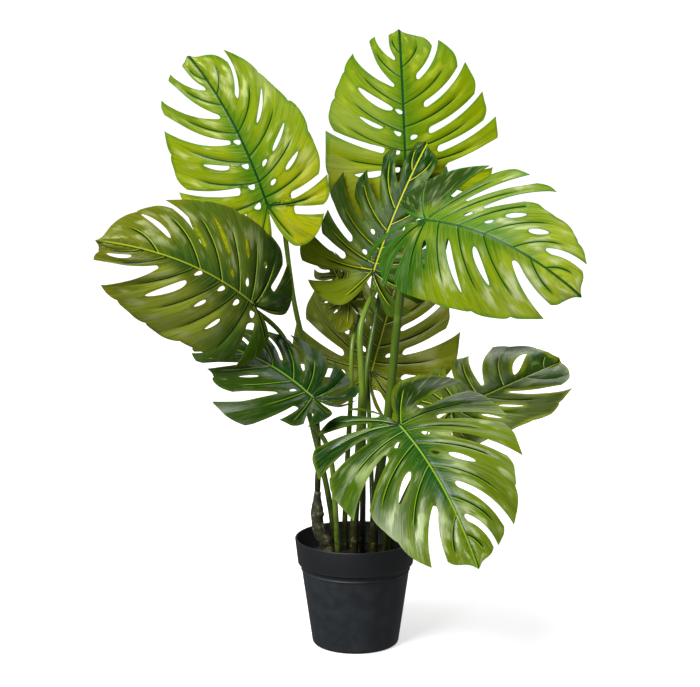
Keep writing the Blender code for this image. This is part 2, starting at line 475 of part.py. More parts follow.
class HalfLeaf:
    """One half of a leaf laid flat, for a midrib of length 1. A place on it is given by u, which lobe it is
    in, counted from the tip with each vein on a whole number, and v, how far out it lies along the vein."""

    def __init__(self, leaf, side):
        lobes = leaf.lobes[side]
        width = leaf.width[side]
        self.lobes = lobes
        self.sweep = leaf.sweep[side]
        self.cuts = leaf.cuts[side] + "s"
        self.open = [cut != "s" for cut in self.cuts]
        self.width = min(width, 1.0)
        outline = smooth_path([(x * width, y, 0.0) for x, y in MARGIN], 0.01)[:, :2]
        run = np.concatenate([[0.0], np.cumsum(np.linalg.norm(np.diff(outline, axis=0), axis=1))])
        self.outline = outline
        self.outline_share = run / run[-1]
        count = len(lobes)
        borders = [0.0] + [lobe.mouth for lobe in lobes]
        self.knots = np.arange(-0.5, count, 0.5)
        self.root_at = [1.0]
        self.mouth_at = [0.0]
        for i in range(count):
            self.root_at += [lobes[i].root, lobes[i].notch]
            self.mouth_at += [(borders[i] + borders[i + 1]) / 2, borders[i + 1]]

    def at(self, u, v):
        """Place on the flat half leaf, across and along."""
        u, v = np.broadcast_arrays(np.asarray(u, float), np.asarray(v, float))
        start = np.stack([np.zeros_like(u), np.interp(u, self.knots, self.root_at)], -1)
        share = np.interp(u, self.knots, self.mouth_at)
        end = np.stack([np.interp(share, self.outline_share, self.outline[:, k]) for k in (0, 1)], -1)
        reach = end - start
        bow = VEIN_BOW * (1 - BOW_FALL * np.clip(u, 0, None) / (len(self.lobes) - 1))
        aside = np.stack([reach[..., 1], -reach[..., 0]], -1) * bow[..., None]
        middle = start + reach / 2 + aside
        v = v[..., None]
        place = (1 - v) ** 2 * start + 2 * v * (1 - v) * middle + v ** 2 * end
        return place + place[..., :1] * (0.0, self.sweep)

    def spread(self, gap, v):
        """Distance between the veins on either side of a gap."""
        return np.linalg.norm(self.at(gap + 1.0, v) - self.at(gap + 0.0, v), axis=-1)

    def length(self, u):
        path = self.at(u, np.linspace(0, 1, 9))
        return np.linalg.norm(np.diff(path, axis=0), axis=1).sum()

    def slit_widths(self, gap):
        """Widths of an open cut at its inner end and at the margin."""
        slack = self.lobes[gap].slack
        if self.cuts[gap] == "w":
            return WIDE_THROAT, slack * WIDE_GAIN + WIDE_MORE
        return SLIT_WIDTH, slack

    def slit_half_width(self, gap, v):
        """Half the width of an open cut, round at its inner end."""
        lobe = self.lobes[gap]
        throat, mouth = self.slit_widths(gap)
        radius = throat / 2 / self.length(gap + 0.5)
        out = (v - lobe.inner) / (1 - lobe.inner)
        width = throat + (mouth - throat) * np.clip(out, 0, 1) ** 0.9
        inside = np.clip((lobe.inner + radius - v) / radius, 0, 1)
        return width * self.width / 2 * np.sqrt(1 - inside ** 2)

    def margin(self, lobe, across):
        """How far out the margin of a lobe lies, with across running from -1 nearer the tip to 1."""
        own = self.lobes[lobe]
        limit = own.reach * np.ones_like(across)
        if lobe > 0:
            before = self.lobes[lobe - 1]
            if self.open[lobe - 1]:
                limit += CORNER_POINT * np.clip(-across, 0, 1) ** 2
            else:
                limit += (before.reach - own.reach) / 2 * np.clip(-across, 0, 1) ** 2
                limit -= SCALLOP * np.clip(-across, 0, 1) ** 5
        if self.open[lobe]:
            rounding = WIDE_ROUND if self.cuts[lobe] == "w" else CORNER_ROUND
            limit -= rounding * np.clip(across, 0, 1) ** 2.5
        elif lobe + 1 < len(self.lobes):
            limit += (self.lobes[lobe + 1].reach - own.reach) / 2 * np.clip(across, 0, 1) ** 2
            limit -= SCALLOP * np.clip(across, 0, 1) ** 5
        else:
            limit += (1 - own.reach) * np.clip(across, 0, 1)
        return limit

    def edge(self, spacing, slit_points):
        """Places round the margin, from the tip to the stem, in and out of each open slit."""
        places = []
        count = len(self.lobes)
        for i in range(count):
            low, high = i - 0.5, i + 0.5
            far = self.margin(i, np.array([-1.0, 1.0]))
            if i > 0 and self.open[i - 1]:
                low += self.slit_half_width(i - 1, far[0]) / self.spread(i - 1, 1.0)
            if self.open[i]:
                high -= self.slit_half_width(i, far[1]) / self.spread(i, 1.0)
            trace = self.at(np.linspace(low, high, 13), 1.0)
            parts = max(2, round(np.linalg.norm(np.diff(trace, axis=0), axis=1).sum() / spacing))
            for k in range(parts + 1):
                if k == 0 and places and not self.open[i - 1]:
                    continue
                u = low + (high - low) * k / parts
                across = (u - i) * 2
                places.append((u, float(self.margin(i, np.array([across]))[0])))
            if self.open[i]:
                inner = self.lobes[i].inner
                radius = self.slit_widths(i)[0] / 2 / self.length(i + 0.5)
                next_edge = float(self.margin(i + 1, np.array([-1.0]))[0])
                for side, outer in ((-1, float(far[1])), (1, next_edge)):
                    run = [inner + radius * (1 - math.cos(angle)) for angle in
                           np.linspace(0, math.pi / 2, slit_points // 2 + 1)[1:]]
                    run += list(np.linspace(run[-1], outer, slit_points + 1)[1:-1])
                    steps = []
                    for v in run:
                        aside = float(self.slit_half_width(i, np.array(v)) / self.spread(i, v))
                        steps.append((i + 0.5 + side * aside, v))
                    if side < 0:
                        places += steps[::-1] + [(i + 0.5, inner)]
                    else:
                        places += steps
        return places

    def openings(self, points):
        """Rings of places round each closed slot and small hole."""
        rings = []
        for i, lobe in enumerate(self.lobes[:-1]):
            if not self.open[i]:
                rings.append(self.ring(i, lobe.inner, lobe.outer, lobe.slack, points))
            if lobe.hole:
                half = HOLE_LENGTH / 2 / self.length(i + 0.5)
                rings.append(self.ring(i, lobe.hole - half, lobe.hole + half, HOLE_WIDTH, points))
        return rings

    def ring(self, gap, inner, outer, width, points):
        """An oval between two veins, blunter at its inner end."""
        ring = []
        for k in range(points):
            angle = 2 * math.pi * k / points
            v = (inner + outer) / 2 - (outer - inner) / 2 * math.cos(angle)
            blunt = 1 + OVAL_BLUNTNESS * math.cos(angle)
            half = width * self.width / 2 * math.sin(angle) * blunt
            ring.append((gap + 0.5 + half / float(self.spread(gap, v)), v))
        return ring

    def inside(self, spacing):
        """Candidate places over the half leaf, row by row."""
        places = []
        last = len(self.lobes) - 0.5
        for v in np.arange(spacing * ROW_STEP, 1.0, spacing * ROW_STEP):
            row = np.linspace(-0.5, last, 200)
            run = np.linalg.norm(np.diff(self.at(row, v), axis=0), axis=1)
            total = np.concatenate([[0.0], np.cumsum(run)])
            for along in np.arange(spacing / 2, total[-1], spacing):
                places.append((float(np.interp(along, total, row)), float(v)))
        return places


def in_polygon(points, ring):
    """Which points lie inside a closed ring."""
    x, y = points[:, 0], points[:, 1]
    inside = np.zeros(len(points), bool)
    for (x0, y0), (x1, y1) in zip(ring, np.roll(ring, -1, axis=0)):
        crosses = (y0 > y) != (y1 > y)
        with np.errstate(divide="ignore", invalid="ignore"):
            at = (x1 - x0) * (y - y0) / (y1 - y0) + x0
        inside ^= crosses & (x < at)
    return inside


def thin_out(candidates, kept, spacing):
    """The candidates that stand at least this far from those kept and from each other."""
    near = list(kept)
    chosen = []
    for k, point in enumerate(candidates):
        if np.min(np.linalg.norm(np.array(near) - point, axis=1)) > spacing:
            near.append(point)
            chosen.append(k)
    return chosen


def flat_leaf(leaf, spacing, slit_points):
    """Triangles of a leaf laid flat: places across and along, each place's half, u and v, and faces."""
    halves = {-1: HalfLeaf(leaf, 0), 1: HalfLeaf(leaf, 1)}
    places = []
    rings = []
    outer = []
    for side in (1, -1):
        half = halves[side]
        edge = half.edge(spacing, slit_points)
        if side == 1:
            own = [(side, u, v) for u, v in edge]
        else:
            own = [(side, u, v) for u, v in edge[::-1]][1:-1]
        outer += own
    places += outer
    rings.append(list(range(len(outer))))
    for side, half in halves.items():
        for ring in half.openings(2 * slit_points):
            rings.append(list(range(len(places), len(places) + len(ring))))
            places += [(side, u, v) for u, v in ring]
    rib_start = len(places)
    rib = np.arange(spacing * 0.5, 1.0 - spacing * 0.5, spacing)
    right = halves[1]
    falling = right.root_at[::-1]
    places += [(1, float(np.interp(y, falling, right.knots[::-1])), 0.0) for y in rib]

    def flat(rows):
        return np.array([halves[s].at(u, v) * (s, 1) for s, u, v in rows])

    points = flat(places)
    candidates = [(side, u, v) for side, half in halves.items() for u, v in half.inside(spacing)]
    spots = flat(candidates)
    loops = [points[ring] for ring in rings]
    good = in_polygon(spots, loops[0])
    for loop in loops[1:]:
        good &= ~in_polygon(spots, loop)
    candidates = [c for c, g in zip(candidates, good) if g]
    spots = spots[good]
    for k in thin_out(spots, points, spacing * NEAREST):
        places.append(candidates[k])
    points = flat(places)
    edges = [(ring[k], ring[(k + 1) % len(ring)]) for ring in rings for k in range(len(ring))]
    edges += [(rib_start + k, rib_start + k + 1) for k in range(len(rib) - 1)]
    made, _, faces, origins, _, _ = delaunay_2d_cdt([Vector(p) for p in points], edges, [], 0, 1e-7, True)
    made = np.array([tuple(p) for p in made])
    middles = np.array([made[list(face)].mean(axis=0) for face in faces])
    good = in_polygon(middles, loops[0])
    for loop in loops[1:]:
        good &= ~in_polygon(middles, loop)
    faces = [tuple(face) for face, g in zip(faces, good) if g]
    used = sorted({i for face in faces for i in face})
    index = {i: n for n, i in enumerate(used)}
    rows = [places[origins[i][0]] for i in used]
    return made[used], rows, [tuple(index[i] for i in face) for face in faces]


def leaf_axes(leaf):
    """The leaf's length and its directions along the midrib and out of its upper side."""
    base, tip, face = (np.array(v, float) for v in (leaf.base, leaf.tip, leaf.face))
    length = np.linalg.norm(tip - base)
    along = (tip - base) / length
    up = face - face.dot(along) * along
    return length, along, up / np.linalg.norm(up)


def bend(leaf, name, points, rows):
    """Places in space of the points of a flat leaf."""
    length, along, up = leaf_axes(leaf)
    across = np.cross(along, up)
    side = np.array([row[0] for row in rows], float)
    u = np.array([row[1] for row in rows])
    v = np.array([row[2] for row in rows])
    x = np.abs(points[:, 0])
    t = points[:, 1]
    ahead = np.clip(t, 0, None)
    behind = np.clip(t, None, 0)
    bulge = 4 * ahead * (1 - ahead) + 4 * behind
    heel = leaf.heel / HEEL_DEPTH
    slope = (4 * leaf.arch * (1 - 2 * ahead)) / length + 2 * heel * behind / length
    rise = leaf.arch * bulge + heel * behind ** 2
    spine = (np.array(leaf.base) + np.outer(t * length, along) + np.outer(rise, up)
             + np.outer(leaf.sway * bulge, across))
    pitch = np.arctan(slope)
    local_up = np.outer(np.cos(pitch), up) - np.outer(np.sin(pitch), along)
    fold = np.radians(np.where(side > 0, leaf.fold[1], leaf.fold[0]))
    curl = np.radians(np.where(side > 0, leaf.curl[1], leaf.curl[0])) + 1e-6
    out = x / 0.5
    turn = fold + curl * out
    wide = 0.5 * length / curl * (np.sin(turn) - np.sin(fold))
    high = -0.5 * length / curl * (np.cos(turn) - np.cos(fold))
    draw = np.random.default_rng(LIFT_SEED + sorted(LEAVES).index(name))
    left, right = draw.uniform(-1, 1, (2, LIFT_LOBES)) * leaf.lift
    lobes = np.arange(LIFT_LOBES)
    lift = np.where(side > 0, np.interp(u, lobes, right), np.interp(u, lobes, left))
    high = high + lift * np.clip((v - LIFT_START) / (1 - LIFT_START), 0, None) ** LIFT_POWER
    return spine + np.outer(wide * side, across) + local_up * high[:, None]


def build_leaf(name, leaf, group):
    points, rows, faces = flat_leaf(leaf, BLADE_SPACING, SLIT_POINTS)
    mesh = bpy.data.meshes.new(name)
    mesh.from_pydata(bend(leaf, name, points, rows).tolist(), [], faces)
    piece = place(name, mesh, group, LEAF_FINISHES.get(name, LEAF_GREEN))
    mesh.shade_smooth()
    thick = piece.modifiers.new("thickness", "SOLIDIFY")
    thick.thickness = BLADE_THICKNESS
    thick.offset = -1.0
    return piece


def stem_path(stem):
    """Points of a stem from its foot in the soil to just under its leaf."""
    leaf = LEAVES[stem.leaf]
    length, along, up = leaf_axes(leaf)
    pitch = math.atan(4 * leaf.arch / length)
    under = math.sin(pitch) * along - math.cos(pitch) * up
    back = -math.cos(pitch) * along - math.sin(pitch) * up
    end = np.array(leaf.base) + (BLADE_THICKNESS + stem.top + STEM_SEAT) * under
    lead = end + STEM_LEAD * (STEM_LEAD_DOWN * under + STEM_LEAD_BACK * back)
    route = [np.array(p) for p in stem.route]
    if route[0][2] == 0.0:
        route[0][2] = SOIL_LEVEL - ROOT_DEPTH
    return smooth_path(route + [lead, end], STEM_POINT_SPACING)


def widened_foot(path, radii):
    """The stretch of a stem that stands in the soil, wider all round by the clearance."""
    level = SOIL_LEVEL + HOLE_RISE
    count = int(np.argmax(path[:, 2] > level)) + 1
    near = path[:count].copy()
    lead = near[0] - near[1]
    near[0] += lead / np.linalg.norm(lead) * CLEARANCE
    return near, [radius + HOLE_CLEARANCE for radius in radii[:count]]


def main():
    clear_scene()
    plant = collection("potted_monstera")
    cutters = collection("cutters")
    build_pot(plant)
    soil = build_soil(plant)
    holes = []
    for name, stem in STEMS.items():
        path = stem_path(stem)
        radii = np.linspace(stem.foot, stem.top, len(path))
        tube(name, path, radii, plant, STEM_FINISH)
        if path[0][2] < SOIL_LEVEL:
            near, wider = widened_foot(path, radii)
            holes.append(tube("hole_" + name, near, wider, cutters, None))
    cane = smooth_path(CANE_ROUTE, CANE_POINT_SPACING)
    tube("cane", cane[:, :3], cane[:, 3], plant, CANE_FINISH)
    near, wider = widened_foot(cane[:, :3], cane[:, 3])
    holes.append(tube("hole_cane", near, wider, cutters, None))
    drill(soil, holes)
    for name, leaf in LEAVES.items():
        build_leaf(name, leaf, plant)


if __name__ == "__main__":
    main()
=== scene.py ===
"""Looks of the potted split-leaf monstera: cut leaves, leaf stalks, the woody cane, soil and pot.

Metres, +Z up. The origin is the middle of the pot's flat underside, and the viewer stands towards -Y.
"""

import logging
import math
from dataclasses import dataclass, replace
from enum import Enum

import bmesh
import bpy
import numpy as np
from bpy.types import ID, Material, Mesh, Node, NodeSocket, Object
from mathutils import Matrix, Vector
from mathutils.geometry import delaunay_2d_cdt


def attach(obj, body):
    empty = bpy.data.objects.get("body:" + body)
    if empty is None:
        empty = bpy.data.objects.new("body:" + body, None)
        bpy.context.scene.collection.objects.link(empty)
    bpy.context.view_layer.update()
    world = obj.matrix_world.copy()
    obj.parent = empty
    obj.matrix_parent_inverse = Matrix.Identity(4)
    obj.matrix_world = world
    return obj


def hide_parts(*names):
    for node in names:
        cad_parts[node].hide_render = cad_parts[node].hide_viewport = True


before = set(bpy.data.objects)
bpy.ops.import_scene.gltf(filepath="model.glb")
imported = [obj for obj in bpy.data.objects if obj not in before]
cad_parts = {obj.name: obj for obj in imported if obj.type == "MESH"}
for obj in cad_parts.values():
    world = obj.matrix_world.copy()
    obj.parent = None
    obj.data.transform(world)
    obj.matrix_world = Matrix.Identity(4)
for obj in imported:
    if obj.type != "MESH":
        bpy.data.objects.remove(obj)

log = logging.getLogger("monstera")

Array = np.ndarray
Pairs = list[tuple[float, float]]
Point = tuple[float, float, float]
Colour = tuple[float, float, float]
Row = tuple[int, float, float]
MM = 0.001

# A length or an angle that counts as nothing
TINY = 1e-6


# Small helpers

def srgb(red: float, green: float, blue: float) -> Colour:
    """A colour for shaders, given as it looks on a screen.

    Args:
        red, green, blue: its parts, from 0 to 255.

    Returns:
        Its linear values.
    """
    return tuple(
        (c / 255 / 12.92) if c / 255 <= 0.04045 else ((c / 255 + 0.055) / 1.055) ** 2.4
        for c in (red, green, blue)
    )


def smooth_path(points: Array, spacing: float) -> Array:
    """A smooth curve through given points.

    Args:
        points: one row a point, with any number of values after the first three.
        spacing: about how far apart the made points lie.

    Returns:
        The points of the curve, the given ones among them.
    """
    knots = np.array(points, float)
    ends = np.vstack([2 * knots[0] - knots[1], knots, 2 * knots[-1] - knots[-2]])
    path = [knots[0]]
    for i in range(len(knots) - 1):
        before, start, end, after = ends[i:i + 4]
        parts = max(1, round(np.linalg.norm((end - start)[:3]) / spacing))
        for t in np.arange(1, parts + 1) / parts:
            path.append(0.5 * (2 * start + (end - before) * t
                               + (2 * before - 5 * start + 4 * end - after) * t ** 2
                               + (3 * start - before - 3 * end + after) * t ** 3))
    return np.array(path)


def eased(values: Array, low: float, high: float) -> Array:
    """Values turned into a smooth step from 0 at low to 1 at high."""
    t = np.clip((np.asarray(values, float) - low) / (high - low), 0, 1)
    return t * t * (3 - 2 * t)


def steps_along(path: Array) -> Array:
    """Distances from each point of a path to the next."""
    return np.linalg.norm(np.diff(path, axis=0), axis=1)


def run_along(path: Array) -> Array:
    """Lengths of a path from its start to each of its points."""
    return np.concatenate([[0.0], np.cumsum(steps_along(path))])


def angles_round(count: int) -> Array:
    """Angles of points set evenly round a circle."""
    return 2 * np.pi * np.arange(count) / count


def put_in_scene(name: str, data: ID) -> Object:
    """An object in the scene made of a mesh, a light or a camera.

    Args:
        name: the object's name.
        data: what it is made of.

    Returns:
        The object.
    """
    made = bpy.data.objects.new(name, data)
    bpy.context.scene.collection.objects.link(made)
    return made


def add_piece(name: str, mesh: Mesh, *materials: Material) -> Object:
    """Put a mesh into the scene as a piece at the origin, with its materials.

    Args:
        name: the piece's name.
        mesh: its mesh.
        materials: its materials in the order of its slots.

    Returns:
        The piece.
    """
    piece = put_in_scene(name, mesh)
    mesh.materials.clear()
    for material in materials:
        mesh.materials.append(material)
    return piece


def baked(piece: Object) -> None:
    """Apply all modifiers of a piece, so that its mesh is plain.

    Args:
        piece: the piece, which gets a new mesh.
    """
    evaluated = piece.evaluated_get(bpy.context.evaluated_depsgraph_get())
    mesh = bpy.data.meshes.new_from_object(evaluated)
    piece.modifiers.clear()
    mesh.name = piece.name
    piece.data = mesh


def store(mesh: Mesh, name: str, rows: Array) -> None:
    """Keep three numbers for each vertex of a mesh under a name that materials can read."""
    layer = mesh.attributes.new(name, "FLOAT_VECTOR", "POINT")
    layer.data.foreach_set("vector", np.asarray(rows, np.float32).ravel())


# Shader maths

class Value:
    """A number in a material, on which Python's operators add Math nodes."""

    def __init__(self, tree: "ShaderTree", socket: NodeSocket) -> None:
        """Wrap an output socket of a tree."""
        self.tree = tree
        self.socket = socket

    def __add__(self, other: "Value | float") -> "Value":
        """Sum."""
        return self.tree.math("ADD", self, other)

    def __radd__(self, other: float) -> "Value":
        """Sum with a plain number first."""
        return self.tree.math("ADD", other, self)

    def __sub__(self, other: "Value | float") -> "Value":
        """Difference."""
        return self.tree.math("SUBTRACT", self, other)

    def __rsub__(self, other: float) -> "Value":
        """Difference from a plain number."""
        return self.tree.math("SUBTRACT", other, self)

    def __mul__(self, other: "Value | float") -> "Value":
        """Product."""
        return self.tree.math("MULTIPLY", self, other)


Number = Value | float


class NodeTree:
    """A node tree that takes each new node together with its settings and inputs."""

    def __init__(self, tree: bpy.types.NodeTree) -> None:
        """Wrap a tree of nodes."""
        self.nodes = tree.nodes
        self.links = tree.links

    def node(self, kind: str, settings: dict | None = None, **values: object) -> Node:
        """Add a node.

        Args:
            kind: the node's type.
            settings: its own properties, set before its sockets.
            values: what its input sockets get, by the socket's name with _ for a blank: numbers,
                colours, sockets or values.

        Returns:
            The node.
        """
        made = self.nodes.new(kind)
        for key, value in (settings or {}).items():
            setattr(made, key, value)
        for key, value in values.items():
            self.feed(made.inputs[key.replace("_", " ")], value)
        return made

    def feed(self, socket: NodeSocket, value: object) -> None:
        """Link or set one input socket.

        Args:
            socket: the input.
            value: a value, a socket, a colour or a number.
        """
        if isinstance(value, Value):
            self.links.new(value.socket, socket)
        elif isinstance(value, NodeSocket):
            self.links.new(value, socket)
        elif isinstance(value, tuple) and socket.type == "RGBA":
            socket.default_value = (*value, 1.0)
        else:
            socket.default_value = value


# Places of the Mix node's sockets for colours: the share, the two colours and what comes out
MIX_SHARE, MIX_FIRST, MIX_SECOND, MIX_RESULT = 0, 6, 7, 2


class ShaderTree(NodeTree):
    """A material under construction: a principled shader and the nodes that feed it."""

    def __init__(self, name: str) -> None:
        """Make a new material with its shader.

        Args:
            name: the material's name.
        """
        self.material = bpy.data.materials.new(name)
        self.material.use_nodes = True
        super().__init__(self.material.node_tree)
        self.shader = self.nodes["Principled BSDF"]

    def math(self, operation: str, first: Number, second: Number = 0.0) -> Value:
        """A Math node on one or two numbers.

        Args:
            operation: what the node does.
            first, second: the numbers.

        Returns:
            The result.
        """
        made = self.node("ShaderNodeMath", {"operation": operation})
        self.feed(made.inputs[0], first)
        self.feed(made.inputs[1], second)
        return Value(self, made.outputs[0])

    def size(self, value: Value) -> Value:
        """A number without its sign."""
        return self.math("ABSOLUTE", value)

    def step(self, value: Value, low: float, high: float) -> Value:
        """A smooth step.

        Args:
            value: the number.
            low, high: where it is 0 and where it is 1. With low above high it falls.

        Returns:
            The step, from 0 to 1.
        """
        if low > high:
            return 1.0 - self.step(value, high, low)
        made = self.node("ShaderNodeMapRange", {"interpolation_type": "SMOOTHSTEP"}, Value=value,
                         From_Min=low, From_Max=high)
        return Value(self, made.outputs[0])

    def mix(self, share: Number, first: object, second: object) -> NodeSocket:
        """A colour between two others.

        Args:
            share: how much of the second there is.
            first, second: the colours.

        Returns:
            The colour between them.
        """
        made = self.node("ShaderNodeMix", {"data_type": "RGBA"})
        self.feed(made.inputs[MIX_SHARE], share)
        self.feed(made.inputs[MIX_FIRST], first)
        self.feed(made.inputs[MIX_SECOND], second)
        return made.outputs[MIX_RESULT]

    def layered(self, colour: object, *layers: tuple[Number, object]) -> NodeSocket:
        """A colour with others laid over it in turn, each given as its share and itself."""
        for share, over in layers:
            colour = self.mix(share, colour, over)
        return colour

    def parts(self, vector: NodeSocket) -> tuple[Value, Value, Value]:
        """The three numbers of a vector."""
        split = self.node("ShaderNodeSeparateXYZ", Vector=vector)
        return tuple(Value(self, out) for out in split.outputs)

    def three(self, name: str) -> tuple[Value, Value, Value]:
        """The three numbers that a mesh keeps for each vertex under a name."""
        kept = self.node("ShaderNodeAttribute", {"attribute_name": name})
        return self.parts(kept.outputs["Vector"])

    def vector(self, x: Number, y: Number, z: Number) -> NodeSocket:
        """A vector of three numbers."""
        return self.node("ShaderNodeCombineXYZ", X=x, Y=y, Z=z).outputs[0]

    def place(self) -> NodeSocket:
        """Where a point of the piece lies, in metres."""
        return self.node("ShaderNodeTexCoord").outputs["Object"]

    def noise(self, where: NodeSocket, scale: float, detail: float = 2.0, roughness: float = 0.5) -> Value:
        """Cloudy noise between 0 and 1."""
        made = self.node("ShaderNodeTexNoise", Vector=where, Scale=scale, Detail=detail, Roughness=roughness)
        return Value(self, made.outputs[0])

    def bump(self, height: Value, strength: float, distance: float) -> NodeSocket:
        """A normal bent by a height in units of distance."""
        return self.node("ShaderNodeBump", Height=height, Strength=strength, Distance=distance).outputs[0]

    def finish(self, colour: object, roughness: object, normal: object = None,
               **constants: object) -> Material:
        """Feed the shader and give back the material.

        Args:
            colour: the base colour.
            roughness: the roughness.
            normal: the bent normal, if any.
            constants: other inputs of the shader, which are the same all over.

        Returns:
            The material.
        """
        self.feed(self.shader.inputs["Base Color"], colour)
        self.feed(self.shader.inputs["Roughness"], roughness)
        if normal is not None:
            self.feed(self.shader.inputs["Normal"], normal)
        for key, value in constants.items():
            self.feed(self.shader.inputs[key.replace("_", " ")], value)
        return self.material


# Leaves

class Cut(Enum):
    """How a cut between two lobes meets the margin: open, wide open, or closed as a slot."""

    OPEN = "o"
    WIDE = "w"
    SLOT = "s"


class Side(Enum):
    """A half of a leaf, seen from above with its tip away."""

    LEFT = -1
    RIGHT = 1


@dataclass(frozen=True)
class Lobe:
    """One lobe of a half leaf and the cut between it and the next, counted from the tip.

    root: where its vein leaves the midrib, as a share of the midrib. mouth: where the cut meets the
    outline, as a share of the outline. reach: its length against the outline's. notch: where the cut's
    line would leave the midrib. inner, outer: the ends of the cut along that line, of which an open cut
    only uses the inner one. slack: the width of an open cut at the margin or of a slot in its middle.
    hole: a small round hole beside the midrib, at this share of the cut's line, or 0 for none.
    """

    root: float
    mouth: float
    reach: float = 1.0
    notch: float = 0.0
    inner: float = 0.0
    outer: float = 0.0
    slack: float = 0.0
    hole: float = 0.0


